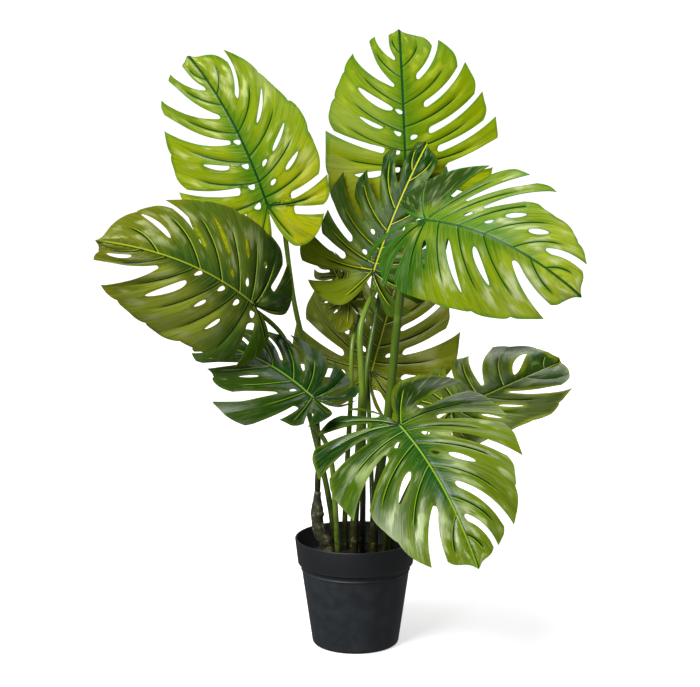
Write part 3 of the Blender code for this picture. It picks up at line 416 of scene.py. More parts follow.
class Mould(Enum):
    """The lobes of a half leaf. Several leaves share the small and the large ones."""

    SMALL_LEFT = (
        Lobe(0.80, 0.055, 1.00, 0.72, 0.20, 0.80, 0.050),
        Lobe(0.62, 0.130, 1.05, 0.53, 0.14, 0.70, 0.090),
        Lobe(0.43, 0.234, 1.08, 0.38, 0.14, 0.70, 0.055, 0.06),
        Lobe(0.25, 0.325, 1.02, 0.24, 0.26, 0.58, 0.030, 0.08),
        Lobe(0.13, 0.430, 1.02, 0.13, 0.24, 0.74, 0.025, 0.10),
        Lobe(0.04, 0.580, 1.00, 0.04, 0.28, 0.64, 0.035, 0.12),
        Lobe(0.00, 1.000, 1.02),
    )
    SMALL_RIGHT = (
        Lobe(0.69, 0.120, 1.00, 0.52, 0.34, 0.80, 0.036),
        Lobe(0.43, 0.230, 1.10, 0.34, 0.36, 0.82, 0.036),
        Lobe(0.28, 0.345, 1.00, 0.18, 0.36, 0.74, 0.034, 0.18),
        Lobe(0.13, 0.450, 1.07, 0.08, 0.44, 0.72, 0.034, 0.20),
        Lobe(0.04, 0.580, 1.00, 0.00, 0.40, 0.72, 0.045),
        Lobe(0.00, 0.670, 1.02, 0.03, 0.46, 0.80, 0.050),
        Lobe(0.00, 1.000, 0.90),
    )
    LARGE_LEFT = (
        Lobe(0.80, 0.074, 1.00, 0.68, 0.14, 0.80, 0.030),
        Lobe(0.56, 0.134, 0.95, 0.45, 0.18, 0.66, 0.065),
        Lobe(0.34, 0.247, 1.00, 0.24, 0.24, 0.50, 0.044, 0.12),
        Lobe(0.16, 0.340, 0.94, 0.08, 0.37, 0.74, 0.080, 0.15),
        Lobe(0.05, 0.495, 1.04, 0.02, 0.36, 0.74, 0.080),
        Lobe(0.00, 0.650, 1.05, 0.00, 0.34, 0.80, 0.080),
        Lobe(0.00, 1.000, 1.02),
    )
    LARGE_RIGHT = (
        Lobe(0.68, 0.098, 0.92, 0.49, 0.26, 0.80, 0.118),
        Lobe(0.34, 0.235, 0.99, 0.25, 0.22, 0.57, 0.050),
        Lobe(0.17, 0.374, 0.92, 0.09, 0.30, 0.78, 0.120, 0.15),
        Lobe(0.06, 0.570, 1.06, 0.01, 0.39, 0.84, 0.061),
        Lobe(0.00, 0.700, 1.06, 0.00, 0.36, 0.80, 0.083),
        Lobe(0.00, 0.820, 1.00, 0.00, 0.40, 0.80, 0.075),
        Lobe(0.00, 1.000, 1.00),
    )
    RIGHT_FAR = (
        Lobe(0.76, 0.085, 1.02, 0.62, 0.36, 0.80, 0.055),
        Lobe(0.55, 0.145, 1.04, 0.46, 0.36, 0.60, 0.050),
        Lobe(0.36, 0.210, 0.96, 0.28, 0.34, 0.54, 0.050, 0.18),
        Lobe(0.20, 0.285, 0.77, 0.14, 0.32, 0.74, 0.090, 0.18),
        Lobe(0.07, 0.390, 1.06, 0.03, 0.33, 0.74, 0.060),
        Lobe(0.00, 0.520, 1.00, 0.00, 0.34, 0.80, 0.060),
        Lobe(0.00, 1.000, 0.95),
    )
    RIGHT_NEAR = (
        Lobe(0.66, 0.105, 0.90, 0.54, 0.18, 0.80, 0.115),
        Lobe(0.36, 0.240, 1.01, 0.29, 0.17, 0.60, 0.050),
        Lobe(0.20, 0.375, 1.03, 0.14, 0.16, 0.76, 0.044),
        Lobe(0.08, 0.520, 1.00, 0.02, 0.22, 0.56, 0.030),
        Lobe(0.00, 0.700, 0.95, 0.00, 0.46, 0.80, 0.050),
        Lobe(0.00, 0.825, 1.00, 0.00, 0.40, 0.80, 0.050),
        Lobe(0.00, 1.000, 1.36),
    )
    LEFT_LOWER = (
        Lobe(0.74, 0.035, 1.00, 0.72, 0.34, 0.84, 0.036),
        Lobe(0.60, 0.080, 1.06, 0.54, 0.26, 0.80, 0.110),
        Lobe(0.43, 0.210, 1.04, 0.39, 0.20, 0.68, 0.055, 0.05),
        Lobe(0.25, 0.330, 1.00, 0.22, 0.26, 0.40, 0.026, 0.07),
        Lobe(0.13, 0.460, 0.96, 0.10, 0.34, 0.54, 0.026, 0.10),
        Lobe(0.04, 0.690, 0.80, 0.00, 0.22, 0.80, 0.060, 0.12),
        Lobe(0.00, 1.000, 0.84),
    )
    LEFT_UPPER = (
        Lobe(0.66, 0.130, 1.00, 0.53, 0.34, 0.88, 0.044),
        Lobe(0.40, 0.225, 0.97, 0.31, 0.32, 0.82, 0.040),
        Lobe(0.25, 0.340, 1.02, 0.16, 0.36, 0.78, 0.040, 0.16),
        Lobe(0.12, 0.470, 1.02, 0.07, 0.46, 0.70, 0.030, 0.18),
        Lobe(0.03, 0.590, 1.00, 0.00, 0.54, 0.62, 0.034),
        Lobe(0.00, 0.700, 1.02, 0.00, 0.46, 0.80, 0.040),
        Lobe(0.00, 1.000, 1.02),
    )
    MIDDLE_LEFT = (
        Lobe(0.74, 0.054, 1.04, 0.55, 0.25, 0.80, 0.080),
        Lobe(0.44, 0.169, 0.95, 0.34, 0.33, 0.66, 0.120),
        Lobe(0.28, 0.312, 0.86, 0.21, 0.38, 0.64, 0.045, 0.18),
        Lobe(0.14, 0.418, 1.14, 0.07, 0.40, 0.74, 0.070, 0.18),
        Lobe(0.04, 0.528, 0.94, 0.01, 0.42, 0.74, 0.070),
        Lobe(0.00, 0.660, 1.20, 0.00, 0.37, 0.80, 0.110),
        Lobe(0.00, 1.000, 1.05),
    )
    LOW_NEAR = (
        Lobe(0.80, 0.074, 1.00, 0.68, 0.30, 0.80, 0.030),
        Lobe(0.56, 0.200, 0.95, 0.43, 0.28, 0.66, 0.120),
        Lobe(0.34, 0.300, 0.92, 0.24, 0.34, 0.62, 0.040),
        Lobe(0.16, 0.430, 1.08, 0.08, 0.38, 0.74, 0.100, 0.15),
        Lobe(0.05, 0.598, 1.40, 0.01, 0.38, 0.74, 0.070),
        Lobe(0.00, 0.705, 0.80, 0.00, 0.39, 0.80, 0.050),
        Lobe(0.00, 1.000, 0.75),
    )
    LOW_RIGHT_FAR = (
        Lobe(0.80, 0.100, 1.02, 0.50, 0.14, 0.78, 0.070),
        Lobe(0.40, 0.300, 1.18, 0.27, 0.14, 0.66, 0.090),
        Lobe(0.20, 0.392, 0.85, 0.08, 0.36, 0.64, 0.040),
        Lobe(0.06, 0.500, 0.75, 0.02, 0.46, 0.74, 0.080),
        Lobe(0.02, 0.600, 0.76, 0.00, 0.40, 0.74, 0.080),
        Lobe(0.00, 0.720, 0.78, 0.00, 0.34, 0.80, 0.080),
        Lobe(0.00, 1.000, 0.80),
    )
    LOW_RIGHT_NEAR = (
        Lobe(0.60, 0.232, 0.95, 0.33, 0.16, 0.80, 0.145),
        Lobe(0.22, 0.370, 1.12, 0.13, 0.36, 0.68, 0.045),
        Lobe(0.10, 0.500, 1.18, 0.04, 0.40, 0.70, 0.040),
        Lobe(0.03, 0.620, 1.10, 0.00, 0.40, 0.70, 0.040),
        Lobe(0.00, 0.740, 1.00, 0.00, 0.40, 0.80, 0.060),
        Lobe(0.00, 0.850, 1.00, 0.00, 0.40, 0.80, 0.060),
        Lobe(0.00, 1.000, 1.00),
    )
    TOP_RIGHT = (
        Lobe(0.69, 0.120, 0.98, 0.54, 0.26, 0.80, 0.036),
        Lobe(0.43, 0.235, 1.02, 0.36, 0.26, 0.82, 0.036),
        Lobe(0.28, 0.345, 1.04, 0.20, 0.27, 0.74, 0.034, 0.10),
        Lobe(0.13, 0.440, 1.04, 0.09, 0.35, 0.72, 0.040),
        Lobe(0.05, 0.545, 1.10, 0.01, 0.44, 0.72, 0.170),
        Lobe(0.00, 0.690, 1.02, 0.03, 0.46, 0.80, 0.050),
        Lobe(0.00, 1.000, 1.02),
    )


# Half of a leaf's outline from the tip round to the stem, across and along. This and the sizes below are
# for a midrib of length 1, where they aren't given in millimetres
MARGIN = (
    (0.0, 1.0), (0.035, 0.972), (0.12, 0.952), (0.19, 0.915), (0.275, 0.84), (0.36, 0.71), (0.43, 0.55),
    (0.475, 0.37), (0.495, 0.20), (0.49, 0.05), (0.455, -0.10), (0.37, -0.215), (0.24, -0.275),
    (0.12, -0.265), (0.04, -0.16), (0.0, -0.03),
)
MARGIN_SPACING = 0.01

# How far behind the stem the turned-up lobes have risen by the whole of the shape's heel
HEEL_DEPTH = 0.3

# An open cut: its width at the inner end, what a wide one gains at the margin, and how it widens outwards
SLIT_WIDTH = 0.044
WIDE_THROAT = 0.022
WIDE_MORE = 0.04
WIDE_GAIN = 1.3
CUT_FLARE = 0.9

# A lobe's corners: drawn out on the tip's side, rounded off on the stem's, and sunk beside a closed cut
CORNER_POINT = 0.03
CORNER_ROUND = 0.15
WIDE_ROUND = 0.30
CORNER_FALL = 2.5
SCALLOP = 0.03
SCALLOP_FALL = 5

# The small round holes, and how much blunter every oval is at its inner end
HOLE_WIDTH = 0.030
HOLE_LENGTH = 0.045
OVAL_BLUNTNESS = 0.25

# Veins: how far they bow towards the tip, how much less the last one does, and how far out they run
VEIN_BOW = 0.24
BOW_FALL = 0.6
VEIN_REACH = 0.80

# The fineness of the lines and of the net of triangles
LENGTH_SAMPLES = 9
EDGE_SAMPLES = 13
LEAST_PARTS = 3
LEAST_VEIN_PARTS = 4
THROAT_POINTS = 6
SLOT_POINTS = 12
HOLE_POINTS = 14
ROW_STEP = 1.1
ROW_SAMPLES = 200
ROWS_BEYOND = 0.05
NUDGE = 1e-3
VEIN_SPACING = 1.7 * MM
VEIN_SIDE = 1.2 * MM
RIB_STEP_OUT = 0.01
LINE_GAP = 0.5
INSIDE_GAP = 0.62
MERGE = 1e-7
VEIN_SAMPLES = 160
BORDER_SHARES = (0.0, 0.25, 0.5, 0.75)
BLOCK = 400

# The width of a half leaf over which it takes its full curl
CURL_WIDTH = 0.5

# The lobes' rise and fall
LIFT_SEED = 41
LIFT_KNOTS = 9
LIFT_FROM = 0.25
LIFT_GROWTH = 1.6

# The swell between veins: its growth beside an open cut, where it rises and sinks, and what it loses
SWELL_GROWTH = 0.85
SWELL_RISE = (0.02, 0.35)
SWELL_SINK = (0.6, 1.0)
SWELL_LOSS = 0.6

# What the midrib's groove loses along the leaf, the least that stays, and where a side vein fades out
RIB_LOSS = 0.55
RIB_LEAST = 0.3
VEIN_FADE = (0.22, 0.02)


@dataclass(frozen=True)
class LeafShape:
    """Where a leaf hangs and how it is bent.

    base: where its stem meets it. tip: the end of its midrib. face: the way its upper side looks. moulds:
    the lobes of the left and right half. cuts: for each half, how each cut from the tip on meets the
    margin, as in Cut. width: of each half, against the outline. arch: how far the midrib bulges up. sway:
    how far it bulges to the right. heel: how far the lobes behind the stem turn up. fold: how far each
    half rises from the midrib in degrees, and curl: how much further it has turned at the margin. lift:
    how far the lobes' ends rise and fall. sweep: how far each half's lobes lean towards the stem, less
    than 0, or the tip.
    """

    base: Point
    tip: Point
    face: Point
    moulds: tuple[Mould, Mould]
    cuts: tuple[str, str]
    width: tuple[float, float]
    arch: float
    sway: float
    heel: float
    fold: tuple[float, float]
    curl: tuple[float, float]
    lift: float
    sweep: tuple[float, float] = (0.0, 0.0)

    @property
    def length(self) -> float:
        """Length of the midrib's chord."""
        return math.dist(self.base, self.tip)

    def axes(self) -> tuple[Array, Array, Array]:
        """Unit vectors along the midrib, out of the upper face, and to the right.

        Returns:
            The three directions.
        """
        along = (np.array(self.tip) - np.array(self.base)) / self.length
        face = np.array(self.face)
        up = face - face.dot(along) * along
        up /= np.linalg.norm(up)
        return along, up, np.cross(along, up)


class HalfLeaf:
    """One half of a leaf laid flat, for a midrib of length 1.

    A place on it is given by u, which lobe it is in, counted from the tip with each vein on a whole
    number, and v, how far out it lies along the vein.
    """

    def __init__(self, shape: LeafShape, side: int) -> None:
        """Lay out the veins and cuts of one half.

        Args:
            shape: the leaf.
            side: 0 for the left half, 1 for the right.
        """
        lobes, cuts, width = shape.moulds[side].value, shape.cuts[side], shape.width[side]
        self.lobes = lobes
        self.sweep = shape.sweep[side]
        self.cuts = [Cut(cut) for cut in cuts] + [Cut.SLOT]
        self.open = [cut is not Cut.SLOT for cut in self.cuts]
        self.width = min(width, 1.0)
        outline = smooth_path([(x * width, y, 0.0) for x, y in MARGIN], MARGIN_SPACING)[:, :2]
        run = run_along(outline)
        self.outline = outline
        self.outline_share = run / run[-1]
        borders = [0.0] + [lobe.mouth for lobe in lobes]
        self.knots = np.arange(-0.5, len(lobes), 0.5)
        self.root_at = [1.0]
        self.mouth_at = [0.0]
        for i, lobe in enumerate(lobes):
            self.root_at += [lobe.root, lobe.notch]
            self.mouth_at += [(borders[i] + borders[i + 1]) / 2, borders[i + 1]]

    def at(self, u: Array, v: Array) -> Array:
        """Places on the flat half leaf, across and along.

        Args:
            u, v: the places.

        Returns:
            Across and along for each place.
        """
        u, v = np.broadcast_arrays(np.asarray(u, float), np.asarray(v, float))
        start = np.stack([np.zeros_like(u), np.interp(u, self.knots, self.root_at)], -1)
        share = np.interp(u, self.knots, self.mouth_at)
        end = np.stack([np.interp(share, self.outline_share, self.outline[:, k]) for k in (0, 1)], -1)
        reach = end - start
        bow = VEIN_BOW * (1 - BOW_FALL * np.clip(u, 0, None) / (len(self.lobes) - 1))
        aside = np.stack([reach[..., 1], -reach[..., 0]], -1) * bow[..., None]
        middle = start + reach / 2 + aside
        v = v[..., None]
        place = (1 - v) ** 2 * start + 2 * v * (1 - v) * middle + v ** 2 * end
        return place + place[..., :1] * (0.0, self.sweep)

    def spread(self, gap: int, v: Array) -> Array:
        """Distance between the veins on either side of a gap."""
        return np.linalg.norm(self.at(gap + 1.0, v) - self.at(gap + 0.0, v), axis=-1)

    def length(self, u: float) -> float:
        """Length of the line at u from the midrib to the outline."""
        path = self.at(u, np.linspace(0, 1, LENGTH_SAMPLES))
        return float(steps_along(path).sum())

    def slit_widths(self, gap: int) -> tuple[float, float]:
        """Widths of an open cut at its inner end and at the margin.

        Args:
            gap: the number of the lobe before it.

        Returns:
            The two widths.
        """
        slack = self.lobes[gap].slack
        if self.cuts[gap] is Cut.WIDE:
            return WIDE_THROAT, slack * WIDE_GAIN + WIDE_MORE
        return SLIT_WIDTH, slack

    def slit_half_width(self, gap: int, v: Array) -> Array:
        """Half the width of an open cut, round at its inner end.

        Args:
            gap: the number of the lobe before it.
            v: how far out.

        Returns:
            Half the width at each v.
        """
        lobe = self.lobes[gap]
        throat, mouth = self.slit_widths(gap)
        radius = throat / 2 / self.length(gap + 0.5)
        out = (v - lobe.inner) / (1 - lobe.inner)
        width = throat + (mouth - throat) * np.clip(out, 0, 1) ** CUT_FLARE
        inside = np.clip((lobe.inner + radius - v) / radius, 0, 1)
        return width * self.width / 2 * np.sqrt(1 - inside ** 2)

    def margin(self, i: int, across: Array) -> Array:
        """How far out the margin of a lobe lies.

        Args:
            i: the lobe.
            across: from -1 at its side nearer the tip to 1 at the other.

        Returns:
            The margin's v at each place across.
        """
        own = self.lobes[i].reach
        limit = own * np.ones_like(across)
        tipward = np.clip(-across, 0, 1)
        stemward = np.clip(across, 0, 1)

        def joined(other: int, part: Array) -> Array:
            """The change towards a neighbour that no open cut parts from this lobe."""
            return (self.lobes[other].reach - own) / 2 * part ** 2 - SCALLOP * part ** SCALLOP_FALL

        if i > 0:
            limit += CORNER_POINT * tipward ** 2 if self.open[i - 1] else joined(i - 1, tipward)
        if self.open[i]:
            limit -= (WIDE_ROUND if self.cuts[i] is Cut.WIDE else CORNER_ROUND) * stemward ** CORNER_FALL
        elif i + 1 < len(self.lobes):
            limit += joined(i + 1, stemward)
        else:
            limit += (1 - own) * stemward
        return limit

    def edge(self, spacing: float) -> Pairs:
        """Places round the margin, from the tip to the stem, in and out of each open cut.

        Args:
            spacing: how far apart the places lie.

        Returns:
            Rows of u and v.
        """
        places = []
        for i in range(len(self.lobes)):
            low, high = i - 0.5, i + 0.5
            far = self.margin(i, np.array([-1.0, 1.0]))
            if i > 0 and self.open[i - 1]:
                low += float(self.slit_half_width(i - 1, far[0]) / self.spread(i - 1, 1.0))
            if self.open[i]:
                high -= float(self.slit_half_width(i, far[1]) / self.spread(i, 1.0))
            trace = self.at(np.linspace(low, high, EDGE_SAMPLES), 1.0)
            parts = max(LEAST_PARTS, round(steps_along(trace).sum() / spacing))
            for k in range(parts + 1):
                if k == 0 and places and not self.open[i - 1]:
                    continue
                u = low + (high - low) * k / parts
                places.append((u, float(self.margin(i, np.array([(u - i) * 2]))[0])))
            if self.open[i]:
                opposite = float(self.margin(i + 1, np.array([-1.0]))[0])
                places += self.slit(i, spacing, float(far[1]), opposite)
        return places

    def slit(self, i: int, spacing: float, near: float, far: float) -> Pairs:
        """Places in along one side of an open cut, round its inner end and out along the other.

        Args:
            i: the number of the lobe before it.
            spacing: how far apart the places lie.
            near, far: where its two sides meet the margin, as v.

        Returns:
            Rows of u and v.
        """
        inner = self.lobes[i].inner
        length = self.length(i + 0.5)
        radius = self.slit_widths(i)[0] / 2 / length
        places = []
        for side, outer in ((-1, near), (1, far)):
            turns = np.linspace(0, math.pi / 2, THROAT_POINTS)[1:]
            run = [inner + radius * (1 - math.cos(angle)) for angle in turns]
            parts = max(LEAST_PARTS, round((outer - run[-1]) * length / spacing))
            run += list(np.linspace(run[-1], outer, parts + 1)[1:-1])
            steps = [(i + 0.5 + side * float(self.slit_half_width(i, np.array(v)) / self.spread(i, v)), v)
                     for v in run]
            places += steps[::-1] + [(i + 0.5, inner)] if side < 0 else steps
        return places

    def openings(self, spacing: float) -> list[Pairs]:
        """Rings of places round each closed slot and small hole.

        Args:
            spacing: how far apart the places lie.

        Returns:
            Rows of u and v for each ring.
        """
        rings = []
        for i, lobe in enumerate(self.lobes[:-1]):
            length = self.length(i + 0.5)
            if not self.open[i]:
                points = max(SLOT_POINTS, round(2 * (lobe.outer - lobe.inner) * length / spacing))
                rings.append(self.ring(i, lobe.inner, lobe.outer, lobe.slack, points))
            if lobe.hole:
                half = HOLE_LENGTH / 2 / length
                rings.append(self.ring(i, lobe.hole - half, lobe.hole + half, HOLE_WIDTH, HOLE_POINTS))
        return rings

    def ring(self, gap: int, inner: float, outer: float, width: float, points: int) -> Pairs:
        """An oval between two veins, blunter at its inner end.

        Args:
            gap: the number of the lobe before it.
            inner, outer: its ends, as v.
            width: its width in the middle.
            points: how many points it has.

        Returns:
            Rows of u and v.
        """
        ring = []
        for angle in angles_round(points).tolist():
            v = (inner + outer) / 2 - (outer - inner) / 2 * math.cos(angle)
            half = width * self.width / 2 * math.sin(angle) * (1 + OVAL_BLUNTNESS * math.cos(angle))
            ring.append((gap + 0.5 + half / float(self.spread(gap, v)), v))
        return ring

    def vein_end(self, i: int) -> float:
        """How far out the vein of a lobe ends."""
        return VEIN_REACH * min(1.0, self.lobes[i].reach)

    def vein(self, i: int, spacing: float) -> Array:
        """Places along the vein of a lobe, one row of u and v each.

        Args:
            i: the lobe.
            spacing: how far apart the places lie.

        Returns:
            Rows of u and v.
        """
        parts = max(LEAST_VEIN_PARTS, round(self.length(float(i)) * VEIN_REACH / spacing))
        v = np.linspace(0, self.vein_end(i), parts + 1)[1:]
        return np.stack([np.full_like(v, i), v], -1)

    def beside(self, i: int, spacing: float, aside: float) -> Array:
        """Places along both sides of a vein, at a small distance from it.

        Args:
            i: the lobe.
            spacing: how far apart the places lie.
            aside: the distance from the vein.

        Returns:
            Rows of u and v.
        """
        line = self.vein(i, spacing)
        rows = []
        u, v = line.T
        for nudge in (-NUDGE, NUDGE):
            step = np.linalg.norm(self.at(u + nudge, v) - self.at(u, v), axis=1)
            rows.append(np.stack([u + nudge * aside / np.maximum(step, TINY), v], -1))
        return np.vstack(rows)

    def inside(self, spacing: float) -> Array:
        """Candidate places over the half leaf, row by row.

        Args:
            spacing: how far apart the places lie.

        Returns:
            Rows of u and v.
        """
        rows = []
        last = len(self.lobes) - 0.5
        line = np.linspace(-0.5, last, ROW_SAMPLES)
        furthest = max(lobe.reach for lobe in self.lobes) + ROWS_BEYOND
        for v in np.arange(spacing * ROW_STEP, furthest, spacing * ROW_STEP):
            run = run_along(self.at(line, v))
            u = np.interp(np.arange(spacing / 2, run[-1], spacing), run, line)
            rows.append(np.stack([u, np.full_like(u, v)], -1))
        return np.vstack(rows)


def in_ring(points: Array, ring: Array) -> Array:
    """Which points lie inside a closed ring.

    Args:
        points: the points.
        ring: the ring's corners in order.

    Returns:
        True for each point inside.
    """
    x, y = points[:, 0], points[:, 1]
    inside = np.zeros(len(points), bool)
    for (x0, y0), (x1, y1) in zip(ring, np.roll(ring, -1, axis=0)):
        if y0 == y1:
            continue
        crosses = (y0 > y) != (y1 > y)
        inside ^= crosses & (x < (x1 - x0) * (y - y0) / (y1 - y0) + x0)
    return inside


def nearest_sample(points: Array, samples: Array) -> Array:
    """How far each point is from the nearest of many samples, worked out block by block.

    Args:
        points: the points.
        samples: the samples.

    Returns:
        A distance for each point.
    """
    nearest = np.full(len(points), np.inf)
    for start in range(0, len(samples), BLOCK):
        gaps = points[:, None, :] - samples[None, start:start + BLOCK, :]
        nearest = np.minimum(nearest, np.linalg.norm(gaps, axis=2).min(axis=1))
    return nearest


class FlatLeaf:
    """The triangles of a leaf laid flat, with what the bending and the finish need at each point.

    points: across and along. half: -1 left, 1 right. u, v: the place on the half. vein, rib, edge: the
    distances to the nearest side vein, to the midrib and to the margin, all for a midrib of length 1.
    """

    def __init__(self, shape: LeafShape, spacing: float) -> None:
        """Cut the outline, slits and holes out of a dense net of triangles.

        Args:
            shape: the leaf.
            spacing: the size of the triangles in metres.
        """
        self.spacing = spacing / shape.length
        self.line_spacing = VEIN_SPACING / shape.length
        self.aside = VEIN_SIDE / shape.length
        self.halves = {side.value: HalfLeaf(shape, k) for k, side in enumerate(Side)}
        self._triangulate()
        self._measure()

    def _flat(self, rows: list[Row]) -> Array:
        """Flat places of rows.

        Args:
            rows: rows of half, u and v.

        Returns:
            Across and along for each row.
        """
        table = np.array(rows, float)
        out = np.empty((len(table), 2))
        for sign, half in self.halves.items():
            own = table[:, 0] == sign
            out[own] = half.at(table[own, 1], table[own, 2]) * (sign, 1)
        return out

    def _outline(self) -> tuple[list[Row], list[list[int]]]:
        """Rows round the margin and round each opening.

        Returns:
            The rows, and for each ring the numbers of its rows.
        """
        right = self.halves[Side.RIGHT.value].edge(self.spacing)
        left = self.halves[Side.LEFT.value].edge(self.spacing)
        rows = [(1, u, v) for u, v in right] + [(-1, u, v) for u, v in left[::-1]][1:-1]
        rings = [list(range(len(rows)))]
        for sign, half in self.halves.items():
            for ring in half.openings(self.spacing):
                rings.append(list(range(len(rows), len(rows) + len(ring))))
                rows += [(sign, u, v) for u, v in ring]
        return rows, rings

    def _candidates(self) -> list[list[Row]]:
        """Groups of rows on the blade: along the midrib and veins, close beside them, then all over.

        Returns:
            The groups in the order in which they are taken.
        """
        rib = np.arange(0.0, 1.0 - self.line_spacing, self.line_spacing)[1:]
        at_rib = {sign: np.interp(rib, half.root_at[::-1], half.knots[::-1])
                  for sign, half in self.halves.items()}
        groups = [[(1, float(u), 0.0) for u in at_rib[1]]]
        for sign, half in self.halves.items():
            for i in range(len(half.lobes)):
                groups.append([(sign, u, v) for u, v in half.vein(i, self.line_spacing)])
        for sign, half in self.halves.items():
            for i in range(len(half.lobes)):
                groups.append([(sign, u, v) for u, v in half.beside(i, self.line_spacing, self.aside)])
            step = half.at(at_rib[sign], RIB_STEP_OUT)[:, 0]
            groups.append([(sign, float(u), float(v))
                           for u, v in zip(at_rib[sign], RIB_STEP_OUT * self.aside / step)])
        for sign, half in self.halves.items():
            groups.append([(sign, u, v) for u, v in half.inside(self.spacing)])
        return groups

    def _triangulate(self) -> None:
        """Fill the leaf's outline with triangles that follow its veins."""
        rows, rings = self._outline()
        self.rings = [self._flat(rows)[ring] for ring in rings]
        groups = self._candidates()
        gaps = [LINE_GAP * self.line_spacing] * (len(groups) - 2) + [INSIDE_GAP * self.spacing] * 2
        rows += self._thinned(self._flat(rows), groups, gaps)
        points = [Vector(p) for p in self._flat(rows)]
        edges = [(ring[k], ring[(k + 1) % len(ring)]) for ring in rings for k in range(len(ring))]
        made, _, faces, origins, _, _ = delaunay_2d_cdt(points, edges, [], 0, MERGE, True)
        made = np.array([tuple(p) for p in made])
        faces = np.array([tuple(face) for face in faces])
        faces = faces[self._on_blade(made[faces].mean(axis=1))]
        used, index = np.unique(faces, return_inverse=True)
        self.faces = index.reshape(faces.shape)
        self.points = made[used]
        self.half, self.u, self.v = np.array([rows[origins[i][0]] for i in used], float).T

    def _on_blade(self, points: Array) -> Array:
        """Which points lie inside the outline and in none of the openings.

        Args:
            points: flat places.

        Returns:
            True for each point on the blade.
        """
        good = in_ring(points, self.rings[0])
        for ring in self.rings[1:]:
            good &= ~in_ring(points, ring)
        return good

    def _thinned(self, kept: Array, groups: list[list[Row]], gaps: list[float]) -> list[Row]:
        """Those rows of each group that lie on the blade and keep its gap from all kept before them.

        Args:
            kept: flat places that are there already.
            groups: the rows to choose from.
            gaps: the least distance for each group.

        Returns:
            The chosen rows.
        """
        size = max(gaps)
        cells: dict[tuple[int, int], list[Array]] = {}
        for point in kept:
            cells.setdefault((int(point[0] // size), int(point[1] // size)), []).append(point)
        chosen = []
        for group, gap in zip(groups, gaps):
            spots = self._flat(group)
            for row, (x, y), fits in zip(group, spots, self._on_blade(spots)):
                if not fits:
                    continue
                cx, cy = int(x // size), int(y // size)
                near = (q for i in (cx - 1, cx, cx + 1) for j in (cy - 1, cy, cy + 1)
                        for q in cells.get((i, j), ()))
                if all((q[0] - x) ** 2 + (q[1] - y) ** 2 > gap ** 2 for q in near):
                    cells.setdefault((cx, cy), []).append(np.array((x, y)))
                    chosen.append(row)
        return chosen

    def _measure(self) -> None:
        """Work out each point's distances to the veins, the midrib and the margin."""
        self.vein = np.full(len(self.points), 1.0)
        for sign, half in self.halves.items():
            own = self.half == sign
            lines = [half.at(float(i), np.linspace(0, half.vein_end(i), VEIN_SAMPLES))
                     for i in range(len(half.lobes))]
            self.vein[own] = nearest_sample(self.points[own], np.vstack(lines) * (sign, 1))
        self.rib = np.hypot(self.points[:, 0], np.clip(-self.points[:, 1], 0, None))
        borders = [ring * (1 - share) + np.roll(ring, -1, axis=0) * share
                   for ring in self.rings for share in BORDER_SHARES]
        self.edge = nearest_sample(self.points, np.vstack(borders))


# The share of the midrib over which the colour of a leaf's tip comes in
TIP_BLEND = 0.28


@dataclass(frozen=True)
class LeafPaint:
    """Colours of a leaf's upper and lower side.

    core: beside the midrib. field: most of the left and of the right half. low: the left and right lobes
    beside the stem, which on several leaves are dark with painted shade, as they lie tucked in by the stem.
    tip: the end of the leaf, from the share tip_start of the midrib on. rim: along the margin, about
    rim_width millimetres wide. bloom: the pale patches between the veins, a painted sheen that stands in
    for the lights' reflection, which cover about painted_sheen_share of the blade. line: the bright line
    along
    each vein, and vein_line, rib_line: how plain it is on the side veins and on the midrib. shade: the
    dark line beside it. under: the lower side, paler partly as such a side is and partly as painted light
    in place of the light that the floor doesn't give. edge: the cut edge of the blade. roughness, gloss:
    how matt the upper side is and how strongly it mirrors.
    """

    core: Colour
    field: tuple[Colour, Colour]
    low: tuple[Colour, Colour]
    tip: Colour
    rim: Colour
    painted_sheen: Colour
    line: Colour
    shade: Colour
    under: Colour
    edge: Colour
    painted_sheen_share: float = 0.4
    rim_width: float = 5.0
    roughness: float = 0.28
    rib_line: float = 0.9
    vein_line: float = 0.95
    gloss: float = 0.25
    tip_start: float = 0.50


